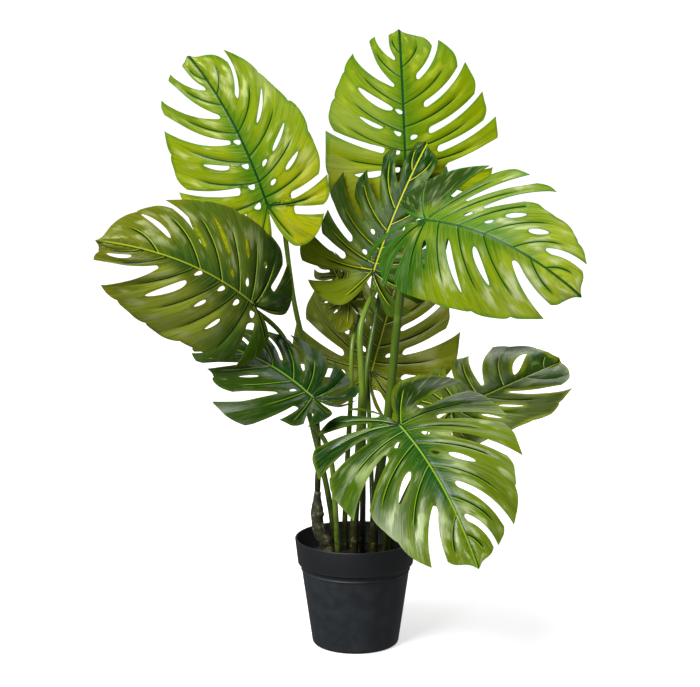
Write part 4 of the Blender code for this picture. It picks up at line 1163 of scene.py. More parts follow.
class LeafFinish:
    """The materials of one leaf: upper side, lower side and cut edge."""

    def __init__(self, name: str, paint: LeafPaint) -> None:
        """Name the finish after its leaf."""
        self.name = name
        self.paint = paint

    def materials(self) -> list[Material]:
        """The upper, lower and edge materials in the order of the blade's slots."""
        return [self._upper(), self._lower(), self._cut_edge()]

    def _grain(self, tree: ShaderTree, stretch: Point, shift: float, scale: float, detail: float,
               roughness: float) -> Value:
        """Noise drawn out along the veins.

        Args:
            tree: the material.
            stretch: how fine it is across the veins, along them and along the leaf.
            shift: how far the right half's pattern is moved against the left half's.
            scale, detail, roughness: as for all noise.

        Returns:
            The noise.
        """
        u, v, t = tree.three("spot")
        half = tree.three("marks")[2]
        where = tree.vector(u * stretch[0] + half * shift, v * stretch[1], t * stretch[2])
        return tree.noise(where, scale, detail, roughness)

    def _upper(self) -> Material:
        """Printed colours, veins in two lines, fine ribs, a painted sheen between the veins, painted shade
        by the stem and satin gloss.

        Returns:
            The material.
        """
        paint = self.paint
        tree = ShaderTree(self.name + " upper side")
        _, v, t = tree.three("spot")
        vein, rib, edge = tree.three("gaps")
        side, strength, half = tree.three("marks")
        streak = self._grain(tree, (9.0, 1.1, 0.6), 40.0, scale=1.6, detail=3.0, roughness=0.65)
        fine = self._grain(tree, (18.0, 1.6, 1.0), 90.0, scale=2.0, detail=2.0, roughness=0.6)
        patch = self._grain(tree, (1.9, 1.5, 2.0), 13.0, scale=1.7, detail=2.0, roughness=0.5)
        drift = tree.noise(tree.place(), scale=22.0) - 0.5
        on_right = tree.step(half, -0.5, 0.5)
        field = tree.mix(on_right, *paint.field)
        sparse = 0.2 * paint.painted_sheen_share
        # Pale patches between the veins: a painted sheen in place of the lights' reflection
        painted_sheen = (tree.step(patch + (streak - 0.5) * 0.5, 0.64 - sparse, 0.80 - sparse)
                 * tree.step(v, 0.10, 0.30) * tree.step(v, 1.02, 0.75))
        # Where the lobes lie tucked in by the stem; on several leaves their colour there is painted shade
        near_stem = tree.step(t + drift * 0.25, 0.22, -0.02) * tree.step(v, 0.1, 0.4)
        # Distances from the veins and the margin are in millimetres
        beside = vein * side
        bright = tree.step(tree.size(beside - 1.0), 1.0, 0.45) * strength
        dim = tree.step(tree.size(beside + 0.1), 1.3, 0.6) * strength
        on_rib = tree.step(rib, 1.9, 1.3)
        rib_line = tree.step(tree.size(rib * half - 1.0), 1.2, 0.6) * on_rib
        colour = tree.layered(
            field,
            (tree.step(v + drift * 0.3, 0.34, 0.0), paint.core),
            (tree.step(t + drift * 0.3, paint.tip_start, paint.tip_start + TIP_BLEND), paint.tip),
            # The painted sheen between the veins
            (painted_sheen * 0.75, paint.painted_sheen),
            # The lobes by the stem, dark with painted shade on several leaves
            (near_stem * 0.9, tree.mix(on_right, *paint.low)),
            (tree.step(edge + drift * paint.rim_width * 3.0, paint.rim_width, 0.0) * 0.6, paint.rim),
            (tree.step(streak, 0.50, 0.62) * 0.325, paint.shade),
            # Fine pale striations of the print, tinted halfway to the painted sheen
            (tree.step(fine, 0.52, 0.70) * 0.35, tree.mix(0.5, field, paint.painted_sheen)),
            (tree.step(vein, 4.5, 0.8) * strength * 0.5, paint.core),
            (bright * paint.vein_line, paint.line),
            (dim * 0.95, paint.shade),
            (on_rib, paint.shade),
            (rib_line * paint.rib_line, paint.line),
        )
        roughness = paint.roughness + (fine - 0.5) * 0.16 + drift * 0.1
        height = tree.bump(streak * 0.7 + fine * 0.4, strength=0.45, distance=0.7 * MM)
        return tree.finish(colour, roughness, height, Specular_IOR_Level=paint.gloss)

    def _lower(self) -> Material:
        """The plainer lower side, paler partly in its own colour and partly as painted light for the floor's
        light that it doesn't get.

        Returns:
            The material.
        """
        paint = self.paint
        tree = ShaderTree(self.name + " lower side")
        vein, rib, _ = tree.three("gaps")
        strength = tree.three("marks")[1]
        streak = self._grain(tree, (16.0, 1.6, 0.6), 40.0, scale=2.2, detail=4.0, roughness=0.62)
        cloud = tree.noise(tree.place(), scale=22.0)
        colour = tree.layered(
            # The lower side's colour, kept pale partly as painted light in place of light from the floor
            paint.under,
            (tree.step(cloud, 0.3, 0.75) * 0.4, paint.field[0]),
            (tree.step(streak, 0.4, 0.75) * 0.3, paint.core),
            (tree.step(vein, 1.6, 0.5) * strength * 0.6, paint.line),
            (tree.step(rib, 2.2, 1.2) * 0.7, paint.line),
        )
        height = tree.bump(streak, strength=0.3, distance=0.3 * MM)
        return tree.finish(colour, 0.55 + (streak - 0.5) * 0.15, height, Specular_IOR_Level=0.25)

    def _cut_edge(self) -> Material:
        """The thin edge of the blade, where its pale core shows."""
        tree = ShaderTree(self.name + " cut edge")
        cloud = tree.noise(tree.place(), scale=120.0)
        return tree.finish(tree.mix(cloud, self.paint.edge, self.paint.rim), 0.6)


@dataclass
class Leaf:
    """A cut leaf, pressed with its veins, bent into place and painted.

    spacing: the size of its triangles. groove, groove_width: the depth and half the width of the grooves
    along the side veins, and rib_groove, rib_groove_width: of the groove along the midrib. quilt: how far
    the blade swells up between the veins. sharp: the angle in degrees from which an edge stays sharp.
    seed: tells the draws of the lobes' rise and fall from those of the other leaves.
    """

    name: str
    shape: LeafShape
    paint: LeafPaint
    thickness: float = 0.7 * MM
    spacing: float = 3.0 * MM
    groove: float = 0.7 * MM
    groove_width: float = 1.1 * MM
    rib_groove: float = 1.1 * MM
    rib_groove_width: float = 1.6 * MM
    quilt: float = 1.8 * MM
    sharp: float = 55.0
    seed: int = 0

    def bend(self, across: Array, along: Array, half: Array, u: Array,
             v: Array) -> tuple[Array, Array]:
        """Bend a flat leaf into place.

        Args:
            across, along: the flat places, for a midrib of length 1.
            half: -1 for the left half, 1 for the right.
            u, v: the places on the halves.

        Returns:
            The places in space and the directions out of the upper side there.
        """
        shape = self.shape
        length = shape.length
        forward, up, right = shape.axes()
        ahead = np.clip(along, 0, None)
        behind = np.clip(along, None, 0)
        bulge = 4 * ahead * (1 - ahead) + 4 * behind
        heel = shape.heel / HEEL_DEPTH ** 2
        slope = (4 * shape.arch * (1 - 2 * ahead)) / length + 2 * heel * behind / length
        rise = shape.arch * bulge + heel * behind ** 2
        spine = (np.array(shape.base) + np.outer(along * length, forward) + np.outer(rise, up)
                 + np.outer(shape.sway * bulge, right))
        pitch = np.arctan(slope)
        local_up = np.outer(np.cos(pitch), up) - np.outer(np.sin(pitch), forward)

        def own(pair: tuple[object, object]) -> Array:
            """The left or the right one of two, after the half that each point is on."""
            return np.where(half > 0, pair[1], pair[0])

        fold = np.radians(own(shape.fold))
        curl = np.radians(own(shape.curl)) + TINY
        turn = fold + curl * np.abs(across) / CURL_WIDTH
        wide = CURL_WIDTH * length / curl * (np.sin(turn) - np.sin(fold))
        high = -CURL_WIDTH * length / curl * (np.cos(turn) - np.cos(fold))
        draw = np.random.default_rng(LIFT_SEED + self.seed)
        lifts = draw.uniform(-1, 1, (2, LIFT_KNOTS)) * shape.lift
        lift = own([np.interp(u, np.arange(LIFT_KNOTS), row) for row in lifts])
        high = high + lift * np.clip((v - LIFT_FROM) / (1 - LIFT_FROM), 0, None) ** LIFT_GROWTH
        outward = half[:, None] * right
        normal = local_up * np.cos(turn)[:, None] - outward * np.sin(turn)[:, None]
        return spine + outward * wide[:, None] + local_up * high[:, None], normal

    def relief(self, flat: FlatLeaf) -> Array:
        """How far each point stands out of the smooth blade: grooved veins and the swell between them.

        Args:
            flat: the leaf laid flat.

        Returns:
            A height for each of its points.
        """
        length = self.shape.length
        off = np.abs(flat.u - np.round(flat.u)) * 2
        is_open = np.zeros(len(flat.u), bool)
        for sign, half in flat.halves.items():
            own = flat.half == sign
            gap = np.clip(np.floor(flat.u[own]), 0, len(half.lobes) - 2).astype(int)
            is_open[own] = np.array(half.open)[gap]
        swell = np.where(is_open, np.sin(math.pi * np.clip(off, 0, 1) ** SWELL_GROWTH),
                         np.sin(math.pi / 2 * off))
        body = eased(flat.v, *SWELL_RISE) * (1 - SWELL_LOSS * eased(flat.v, *SWELL_SINK))
        vein = np.exp(-(flat.vein * length / self.groove_width) ** 2)
        rib = np.exp(-(flat.rib * length / self.rib_groove_width) ** 2)
        taper = np.clip(1 - RIB_LOSS * flat.points[:, 1], RIB_LEAST, 1)
        return (self.quilt * swell * body - self.groove * vein * self.vein_strength(flat)
                - self.rib_groove * taper * rib)

    def vein_strength(self, flat: FlatLeaf) -> Array:
        """How plain the nearest vein is, from 1 at the midrib to 0 where it runs out."""
        return 1 - eased(flat.v, VEIN_REACH - VEIN_FADE[0], VEIN_REACH - VEIN_FADE[1])

    def build(self) -> Object:
        """Make the leaf's piece.

        Returns:
            The piece.
        """
        flat = FlatLeaf(self.shape, self.spacing)
        places, normals = self.bend(flat.points[:, 0], flat.points[:, 1], flat.half, flat.u, flat.v)
        places = places + normals * self.relief(flat)[:, None]
        mesh = bpy.data.meshes.new(self.name + "_blade")
        mesh.from_pydata(places.tolist(), [], flat.faces.tolist())
        length = self.shape.length / MM
        side = np.where(flat.u - np.round(flat.u) > 0, 1.0, -1.0) * flat.half
        store(mesh, "spot", np.stack([flat.u, flat.v, flat.points[:, 1]], -1))
        store(mesh, "gaps", np.stack([flat.vein, flat.rib, flat.edge], -1) * length)
        store(mesh, "marks", np.stack([side, self.vein_strength(flat), flat.half], -1))
        mesh.shade_smooth()
        piece = add_piece(self.name + "_blade", mesh, *LeafFinish(self.name, self.paint).materials())
        thick = piece.modifiers.new("thickness", "SOLIDIFY")
        thick.thickness = self.thickness
        thick.offset = -1.0
        thick.material_offset = 1
        thick.material_offset_rim = 2
        baked(piece)
        piece.data.set_sharp_from_angle(angle=math.radians(self.sharp))
        return piece


LIME = LeafPaint(
    core=srgb(80, 128, 2), field=(srgb(144, 164, 0), srgb(136, 160, 0)),
    low=(srgb(170, 180, 0), srgb(180, 184, 0)), tip=srgb(128, 152, 2), rim=srgb(62, 124, 2),
    painted_sheen=srgb(220, 228, 140), line=srgb(150, 180, 40), shade=srgb(12, 72, 14), under=srgb(122, 150, 26),
    edge=srgb(104, 134, 8), painted_sheen_share=0.62, rib_line=0.0, vein_line=0.4, roughness=0.3,
)
SUNLIT = replace(
    LIME, field=(srgb(128, 150, 0), srgb(132, 150, 0)), low=(srgb(160, 170, 0), srgb(160, 170, 0)),
    tip=srgb(110, 140, 0), core=srgb(84, 124, 0), painted_sheen=srgb(168, 182, 40), gloss=0.08, roughness=0.36,
)
# The very dark left lobes by the stem are painted shade
VIVID = LeafPaint(
    core=srgb(84, 128, 6), field=(srgb(124, 150, 8), srgb(140, 162, 4)),
    low=(srgb(4, 44, 0), srgb(36, 98, 8)), tip=srgb(164, 182, 40), rim=srgb(48, 124, 26),
    painted_sheen=srgb(214, 226, 164), line=srgb(130, 180, 50), shade=srgb(10, 72, 18), under=srgb(100, 136, 30),
    edge=srgb(64, 116, 20), painted_sheen_share=0.72, rib_line=0.15, vein_line=0.45, gloss=0.2,
)
# On leaf_left the left, lower half's field is painted lighter, as painted light that this drooping half
# doesn't get, and the dark right lobes by the stem are painted shade
OLIVE = LeafPaint(
    core=srgb(60, 100, 20), field=(srgb(172, 186, 52), srgb(92, 118, 20)),
    low=(srgb(64, 112, 22), srgb(36, 74, 14)), tip=srgb(116, 126, 12), rim=srgb(130, 132, 0),
    painted_sheen=srgb(196, 208, 136), line=srgb(196, 212, 50), shade=srgb(8, 42, 8), under=srgb(104, 122, 30),
    edge=srgb(90, 100, 12), painted_sheen_share=0.70,
)
DUSKY = replace(
    OLIVE, core=srgb(36, 68, 6), field=(srgb(76, 104, 14), srgb(54, 88, 12)),
    low=(srgb(118, 132, 12), srgb(64, 92, 10)), tip=srgb(12, 60, 10), rim=srgb(72, 94, 4),
    painted_sheen=srgb(132, 158, 92), line=srgb(216, 220, 40), under=srgb(88, 104, 22), gloss=0.10,
    tip_start=0.40,
)
TAWNY = replace(
    OLIVE, core=srgb(76, 98, 2), field=(srgb(128, 144, 10), srgb(170, 180, 26)),
    low=(srgb(100, 110, 2), srgb(100, 110, 2)), tip=srgb(160, 164, 6), rim=srgb(124, 130, 0),
    painted_sheen=srgb(214, 216, 130), line=srgb(206, 208, 20), shade=srgb(26, 50, 2), painted_sheen_share=0.75,
)
ARCHED = replace(
    OLIVE, core=srgb(44, 78, 4), field=(srgb(86, 112, 6), srgb(82, 102, 2)),
    low=(srgb(78, 100, 4), srgb(70, 90, 4)), tip=srgb(50, 88, 8), rim=srgb(170, 184, 0),
    painted_sheen=srgb(140, 164, 80), rim_width=7.0, roughness=0.22, gloss=0.09,
)
DARK = LeafPaint(
    core=srgb(14, 58, 6), field=(srgb(44, 70, 2), srgb(22, 54, 4)),
    low=(srgb(16, 48, 6), srgb(16, 48, 6)), tip=srgb(60, 88, 4), rim=srgb(70, 92, 4),
    painted_sheen=srgb(120, 138, 90), line=srgb(120, 156, 30), shade=srgb(4, 32, 6), under=srgb(110, 118, 4),
    edge=srgb(52, 78, 10), painted_sheen_share=0.4, roughness=0.2, gloss=0.18,
)
# The dark lobes by the stem are painted shade
GLOSSY = replace(
    DARK, core=srgb(22, 80, 4), field=(srgb(104, 126, 4), srgb(66, 96, 2)),
    low=(srgb(2, 36, 0), srgb(10, 54, 2)), tip=srgb(106, 128, 8), rim=srgb(108, 132, 4),
    painted_sheen=srgb(184, 202, 132), line=srgb(150, 194, 36), rim_width=5.0, painted_sheen_share=0.62, gloss=0.24,
)

LEAVES = {
    "leaf_upper_left": (LeafShape(
        (-0.108, 0.030, 0.545), (-0.207, 0.102, 0.722), (-0.42, -0.88, 0.08),
        (Mould.SMALL_LEFT, Mould.SMALL_RIGHT), ("wwwsos", "osssoo"),
        (1.04, 0.82), 0.012, 0.016, -0.004, (0, 4), (-4, -12), 0.004, (0.0, -0.25)), LIME),
    "leaf_top": (LeafShape(
        (0.0637, 0.130, 0.574), (0.057, 0.250, 0.749), (0.0, -0.79, 0.61),
        (Mould.SMALL_LEFT, Mould.TOP_RIGHT), ("wwssos", "oooooo"),
        (0.97, 1.05), 0.012, 0.0, -0.004, (-4, -4), (-10, -4), 0.004, (-0.08, 0.0)), SUNLIT),
    "leaf_right": (LeafShape(
        (0.083, -0.050, 0.537), (0.260, -0.138, 0.4585), (-0.28, -0.88, 0.36),
        (Mould.RIGHT_FAR, Mould.RIGHT_NEAR), ("osswww", "osssoo"),
        (0.97, 0.96), 0.022, -0.014, -0.006, (-18, -20), (-10, -8), 0.006), VIVID),
    "leaf_left": (LeafShape(
        (-0.122, -0.035, 0.433), (-0.304, -0.090, 0.518), (-0.25, -0.86, 0.30),
        (Mould.LEFT_LOWER, Mould.LEFT_UPPER), ("swssso", "sossso"),
        (1.10, 0.84), 0.020, 0.014, -0.006, (-20, -8), (-22, -8), 0.005), OLIVE),
    "leaf_middle": (LeafShape(
        (0.0215, 0.050, 0.461), (0.0900, 0.120, 0.613), (-0.30, -0.86, 0.40),
        (Mould.MIDDLE_LEFT, Mould.LARGE_RIGHT), ("wwwooo", "oowooo"),
        (1.06, 0.84), 0.010, 0.0, 0.0, (-2, -6), (-8, -10), 0.004), DUSKY),
    "leaf_behind": (LeafShape(
        (0.0205, 0.135, 0.318), (0.0695, 0.285, 0.458), (0.05, -0.80, 0.60),
        (Mould.LARGE_LEFT, Mould.LARGE_RIGHT), ("oooooo", "oooooo"),
        (1.0, 0.94), 0.008, 0.0, 0.0, (0, 0), (-6, -6), 0.004), TAWNY),
    "leaf_low_left": (LeafShape(
        (-0.052, -0.020, 0.316), (-0.203, 0.100, 0.359), (-0.10, -0.20, 0.97),
        (Mould.LOW_NEAR, Mould.LARGE_RIGHT), ("owswoo", "oooooo"),
        (0.72, 0.56), 0.020, 0.0, 0.030, (-4, 14), (-30, -6), 0.005), DARK),
    "leaf_front": (LeafShape(
        (0.053, -0.065, 0.2925), (0.141, -0.197, 0.152), (-0.16, -0.74, 0.64),
        (Mould.LARGE_LEFT, Mould.LARGE_RIGHT), ("oosooo", "osoooo"),
        (1.04, 1.06), 0.016, -0.008, 0.004, (-2, 0), (-14, -6), 0.006), GLOSSY),
    "leaf_low_right": (LeafShape(
        (0.121, 0.060, 0.2825), (0.268, 0.190, 0.318), (-0.10, -0.46, 0.88),
        (Mould.LOW_RIGHT_FAR, Mould.LOW_RIGHT_NEAR), ("swoooo", "wsssoo"),
        (1.10, 0.76), 0.012, 0.012, -0.030, (10, 4), (-24, -10), 0.006), ARCHED),
    "leaf_edge": (LeafShape(
        (-0.008, 0.075, 0.4185), (-0.040, 0.155, 0.4715), (-0.50, -0.10, 0.80),
        (Mould.SMALL_LEFT, Mould.SMALL_RIGHT), ("ooosos", "ooosoo"),
        (0.90, 0.40), 0.008, 0.0, 0.0, (-20, -8), (-30, -14), 0.003), TAWNY),
}


# Stems and cane

SOIL_LEVEL = 0.110
PALE_STALK = srgb(122, 152, 46)


@dataclass
class Stalk:
    """A leaf stalk: a slightly uneven round stem that widens into a collar under its leaf.

    route: its points from the soil up, of which a first one at height 0 stands for the stalk's foot. foot,
    top: its radius at either end. leaf: the leaf it carries. collar: the radius of the widening, and
    collar_length: how long it is, of which the share collar_full keeps that radius. tone: its colour half
    way up. blade, seat: the room for the leaf's blade and the gap under it. lead: how far before its end
    it turns towards the leaf, and turn: how far that is down from the blade and back along it. depth: how
    far its foot reaches into the soil. bumps: how uneven it is, and waves: the lengths of the unevenness.
    bark: how far along it from its foot the bark ends and how far it is at its full.
    """

    name: str
    route: tuple[Point, ...]
    foot: float
    top: float
    leaf: str
    collar: float = 0.0
    collar_length: float = 0.02
    tone: Colour = srgb(86, 116, 24)
    blade: float = 1.0 * MM
    seat: float = 1.2 * MM
    lead: float = 0.028
    turn: tuple[float, float] = (0.95, 0.30)
    depth: float = 0.036
    spacing: float = 0.004
    sides: int = 20
    collar_full: float = 0.3
    bumps: float = 0.05
    waves: tuple[float, float] = (0.011, 0.0173)
    bark: tuple[float, float] = (0.095, 0.055)

    def path(self) -> Array:
        """Points of the stalk from its foot in the soil to its leaf.

        Returns:
            One row a point.
        """
        shape = LEAVES[self.leaf][0]
        along, up, _ = shape.axes()
        pitch = math.atan(4 * shape.arch / shape.length)
        under = math.sin(pitch) * along - math.cos(pitch) * up
        back = -math.cos(pitch) * along - math.sin(pitch) * up
        end = np.array(shape.base) + (self.blade + self.top + self.seat) * under
        lead = end + self.lead * (self.turn[0] * under + self.turn[1] * back)
        route = [np.array(p) for p in self.route]
        if route[0][2] == 0.0:
            route[0][2] = SOIL_LEVEL - self.depth
        return smooth_path(route + [lead, end], self.spacing)

    def build(self) -> Object:
        """Make the stalk's piece.

        Returns:
            The piece.
        """
        path = self.path()
        run = run_along(path)
        share = run / run[-1]
        radii = self.foot + (self.top - self.foot) * share
        from_top = run[-1] - run
        if self.collar:
            full = self.collar_full * self.collar_length
            radii = radii + (self.collar - self.top) * (1 - eased(from_top, full, self.collar_length))
        radii = radii * (1 + self.bumps * np.sin(run / self.waves[0]) * np.sin(run / self.waves[1]))
        mesh = tube_mesh(self.name + "_stalk", path, radii, self.sides)
        around = np.tile(np.arange(self.sides) / self.sides, len(path))
        share, run = np.repeat(share, self.sides), np.repeat(run, self.sides)
        store(mesh, "stalk", np.stack([share, run, around], -1))
        mesh.shade_smooth()
        return add_piece(self.name + "_stalk", mesh, self.finish())

    def finish(self) -> Material:
        """Green skin, streaked along the stalk, that darkens downwards to flaked bark near the soil.

        Returns:
            The material.
        """
        tree = ShaderTree(self.name + " skin")
        share, run, around = tree.three("stalk")
        along = tree.vector(around * 9.0, run * 22.0, 0.0)
        streak = tree.noise(along, scale=1.6, detail=3.0, roughness=0.6)
        cloud = tree.noise(tree.place(), scale=45.0, detail=3.0)
        flakes = tree.noise(tree.place(), scale=120.0, detail=3.0, roughness=0.6)
        bark = tree.step(run + (cloud - 0.5) * 0.05, *self.bark) * 0.7
        colour = tree.layered(
            srgb(44, 46, 20),
            (tree.step(share + (cloud - 0.5) * 0.4, 0.08, 0.5), self.tone),
            (tree.step(share, 0.72, 1.0) * 0.6, srgb(96, 140, 16)),
            (tree.step(streak, 0.45, 0.75) * 0.5, srgb(34, 62, 14)),
            (tree.step(cloud, 0.62, 0.8) * 0.3, srgb(140, 164, 70)),
            (bark * tree.step(flakes, 0.42, 0.56), srgb(36, 34, 20)),
            (bark * tree.step(flakes, 0.58, 0.68), srgb(120, 106, 68)),
        )
        height = tree.bump(streak, strength=0.3, distance=0.5 * MM)
        return tree.finish(colour, 0.26 + (streak - 0.5) * 0.2, height, Specular_IOR_Level=0.45)


def tube_mesh(name: str, path: Array, radii: Array, sides: int) -> Mesh:
    """A closed round tube along a path, without twist.

    Args:
        name: the mesh's name.
        path: its middle line.
        radii: its radius at each point, or one row of radii round it.
        sides: how many sides it has.

    Returns:
        The mesh, with the points of each ring in order along the path.
    """
    count = len(path)
    tangent = np.gradient(path, axis=0)
    tangent /= np.linalg.norm(tangent, axis=1)[:, None]
    normal = np.cross(tangent[0], (0.0, 1.0, 0.0))
    rows = []
    angle = angles_round(sides)
    radii = np.broadcast_to(np.asarray(radii, float).reshape(count, -1), (count, sides))
    for i in range(count):
        normal = normal - normal.dot(tangent[i]) * tangent[i]
        normal /= np.linalg.norm(normal)
        binormal = np.cross(tangent[i], normal)
        ring = np.outer(np.cos(angle), normal) + np.outer(np.sin(angle), binormal)
        rows.append(path[i] + ring * radii[i][:, None])
    faces = [(i * sides + k, i * sides + (k + 1) % sides, (i + 1) * sides + (k + 1) % sides,
              (i + 1) * sides + k) for i in range(count - 1) for k in range(sides)]
    faces.append(tuple(range(sides))[::-1])
    faces.append(tuple(range((count - 1) * sides, count * sides)))
    mesh = bpy.data.meshes.new(name)
    mesh.from_pydata(np.vstack(rows).tolist(), [], faces)
    return mesh


STALKS = (
    Stalk("stem_upper_left", ((-0.047, 0.004, 0.193), (-0.0468, 0.0045, 0.204), (-0.046, 0.020, 0.240),
                              (-0.0535, 0.066, 0.320), (-0.0755, 0.062, 0.415)),
          0.0036, 0.0028, "leaf_upper_left", 0.0052, 0.055, tone=PALE_STALK),
    Stalk("stem_top", ((0.0085, 0.018, 0.0), (0.009, 0.024, 0.16), (0.012, 0.052, 0.314),
                       (0.030, 0.092, 0.42), (0.044, 0.120, 0.490)), 0.0040, 0.0026, "leaf_top"),
    Stalk("stem_right", ((0.0216, 0.0, 0.0), (0.0240, -0.002, 0.168), (0.0397, -0.004, 0.291),
                         (0.0520, -0.006, 0.420), (0.062, -0.010, 0.480)), 0.0060, 0.0045, "leaf_right"),
    Stalk("stem_left", ((-0.0225, 0.016, 0.0), (-0.030, 0.012, 0.16), (-0.044, 0.006, 0.235),
                        (-0.068, 0.052, 0.316), (-0.092, 0.064, 0.378)),
          0.0040, 0.0026, "leaf_left", tone=PALE_STALK),
    Stalk("stem_middle", ((-0.003, 0.0, 0.0), (-0.001, 0.002, 0.162), (0.0075, 0.014, 0.31),
                          (0.0065, 0.028, 0.395)),
          0.0062, 0.0028, "leaf_middle", 0.0058, 0.045, tone=PALE_STALK),
    Stalk("stem_behind", ((0.0225, 0.030, 0.0), (0.022, 0.040, 0.14), (0.019, 0.092, 0.23)),
          0.0034, 0.0026, "leaf_behind"),
    Stalk("stem_low_left", ((-0.020, -0.014, 0.0), (-0.024, -0.012, 0.16), (-0.032, -0.010, 0.245)),
          0.0040, 0.0026, "leaf_low_left", tone=PALE_STALK),
    Stalk("stem_front", ((0.036, -0.012, 0.0), (0.037, -0.016, 0.15), (0.043, -0.024, 0.22)),
          0.0036, 0.0028, "leaf_front"),
    Stalk("stem_low_right", ((0.040, 0.012, 0.0), (0.046, 0.018, 0.14), (0.078, 0.038, 0.21)),
          0.0034, 0.0026, "leaf_low_right"),
    Stalk("stem_edge", ((-0.012, 0.026, 0.0), (-0.013, 0.032, 0.16), (-0.006, 0.050, 0.30),
                        (-0.004, 0.064, 0.365)), 0.0036, 0.0026, "leaf_edge", tone=PALE_STALK),
)


@dataclass
class Cane:
    """The thick knotted woody stem that the tallest leaf on the left grows from.

    route: its points with the radius at each. knots: the heights of its rings. bumps: how uneven its bark
    is, and waves: how often each wave of it goes round. draws: the least and the most of a wave's height,
    of its turning with height and of its start. grain: how fast the waves turn at most. ring_height,
    ring_width: how far each ring stands out and how broad it is. spacing: how far apart its points lie,
    and sides: how many go round it.
    """

    route: tuple[tuple[float, float, float, float], ...] = (
        (-0.034, 0.004, 0.074, 0.0080), (-0.034, 0.004, 0.118, 0.0082), (-0.043, 0.004, 0.138, 0.0090),
        (-0.047, 0.004, 0.152, 0.0078), (-0.0475, 0.004, 0.168, 0.0080), (-0.0475, 0.004, 0.182, 0.0052),
        (-0.047, 0.004, 0.1915, 0.0044),
    )
    knots: tuple[float, ...] = (0.128, 0.146, 0.163)
    bumps: float = 0.05
    waves: tuple[int, ...] = (1, 2, 3, 5)
    draws: tuple[tuple[float, float], ...] = ((0.1, 0.35), (0.3, 1.0), (0.0, 6.0))
    grain: float = 900.0
    ring_height: float = 0.10
    ring_width: float = 0.0022
    spacing: float = 0.0015
    sides: int = 36
    seed: int = 5

    def build(self) -> Object:
        """Make the cane's piece, with rings and bumps in its mesh.

        Returns:
            The piece.
        """
        rows = smooth_path(self.route, self.spacing)
        path, radius = rows[:, :3], rows[:, 3]
        draw = np.random.default_rng(self.seed)
        angle = angles_round(self.sides)
        bark = np.zeros((len(path), self.sides))
        for wave in self.waves:
            height, twist, start = (draw.uniform(low, high) for low, high in self.draws)
            bark += height * np.sin(wave * angle[None, :] + self.grain * path[:, 2:] * twist + start)
        rings = sum(self.ring_height * np.exp(-((path[:, 2] - knot) / self.ring_width) ** 2)
                    for knot in self.knots)
        radii = radius[:, None] * (1 - self.bumps + self.bumps * bark + rings[:, None])
        mesh = tube_mesh("cane_bark", path, radii, self.sides)
        mesh.shade_smooth()
        return add_piece("cane_bark", mesh, self.finish())

    def finish(self) -> Material:
        """Dark green-brown bark with tan patches.

        Returns:
            The material.
        """
        tree = ShaderTree("cane bark")
        large = tree.noise(tree.place(), scale=90.0, detail=4.0, roughness=0.6)
        small = tree.noise(tree.place(), scale=420.0, detail=3.0, roughness=0.6)
        colour = tree.layered(
            srgb(34, 38, 22),
            (tree.step(large, 0.35, 0.65), srgb(70, 74, 42)),
            (tree.step(large * 0.6 + small * 0.4, 0.54, 0.62) * 0.8, srgb(150, 132, 96)),
        )
        height = tree.bump(large * 0.7 + small * 0.3, strength=0.6, distance=1.2 * MM)
        return tree.finish(colour, 0.62, height)


# Pot and soil

def arc(across: float, up: float, radius: float, start: float, end: float, points: int) -> Pairs:
    """Points of an arc about a centre, from one angle to another in degrees.

    Args:
        across, up: the centre.
        radius: the radius.
        start, end: the first and the last angle in degrees.
        points: how many points.

    Returns:
        Rows of across and up.
    """
    return [(across + radius * math.cos(angle), up + radius * math.sin(angle))
            for angle in np.linspace(math.radians(start), math.radians(end), points)]


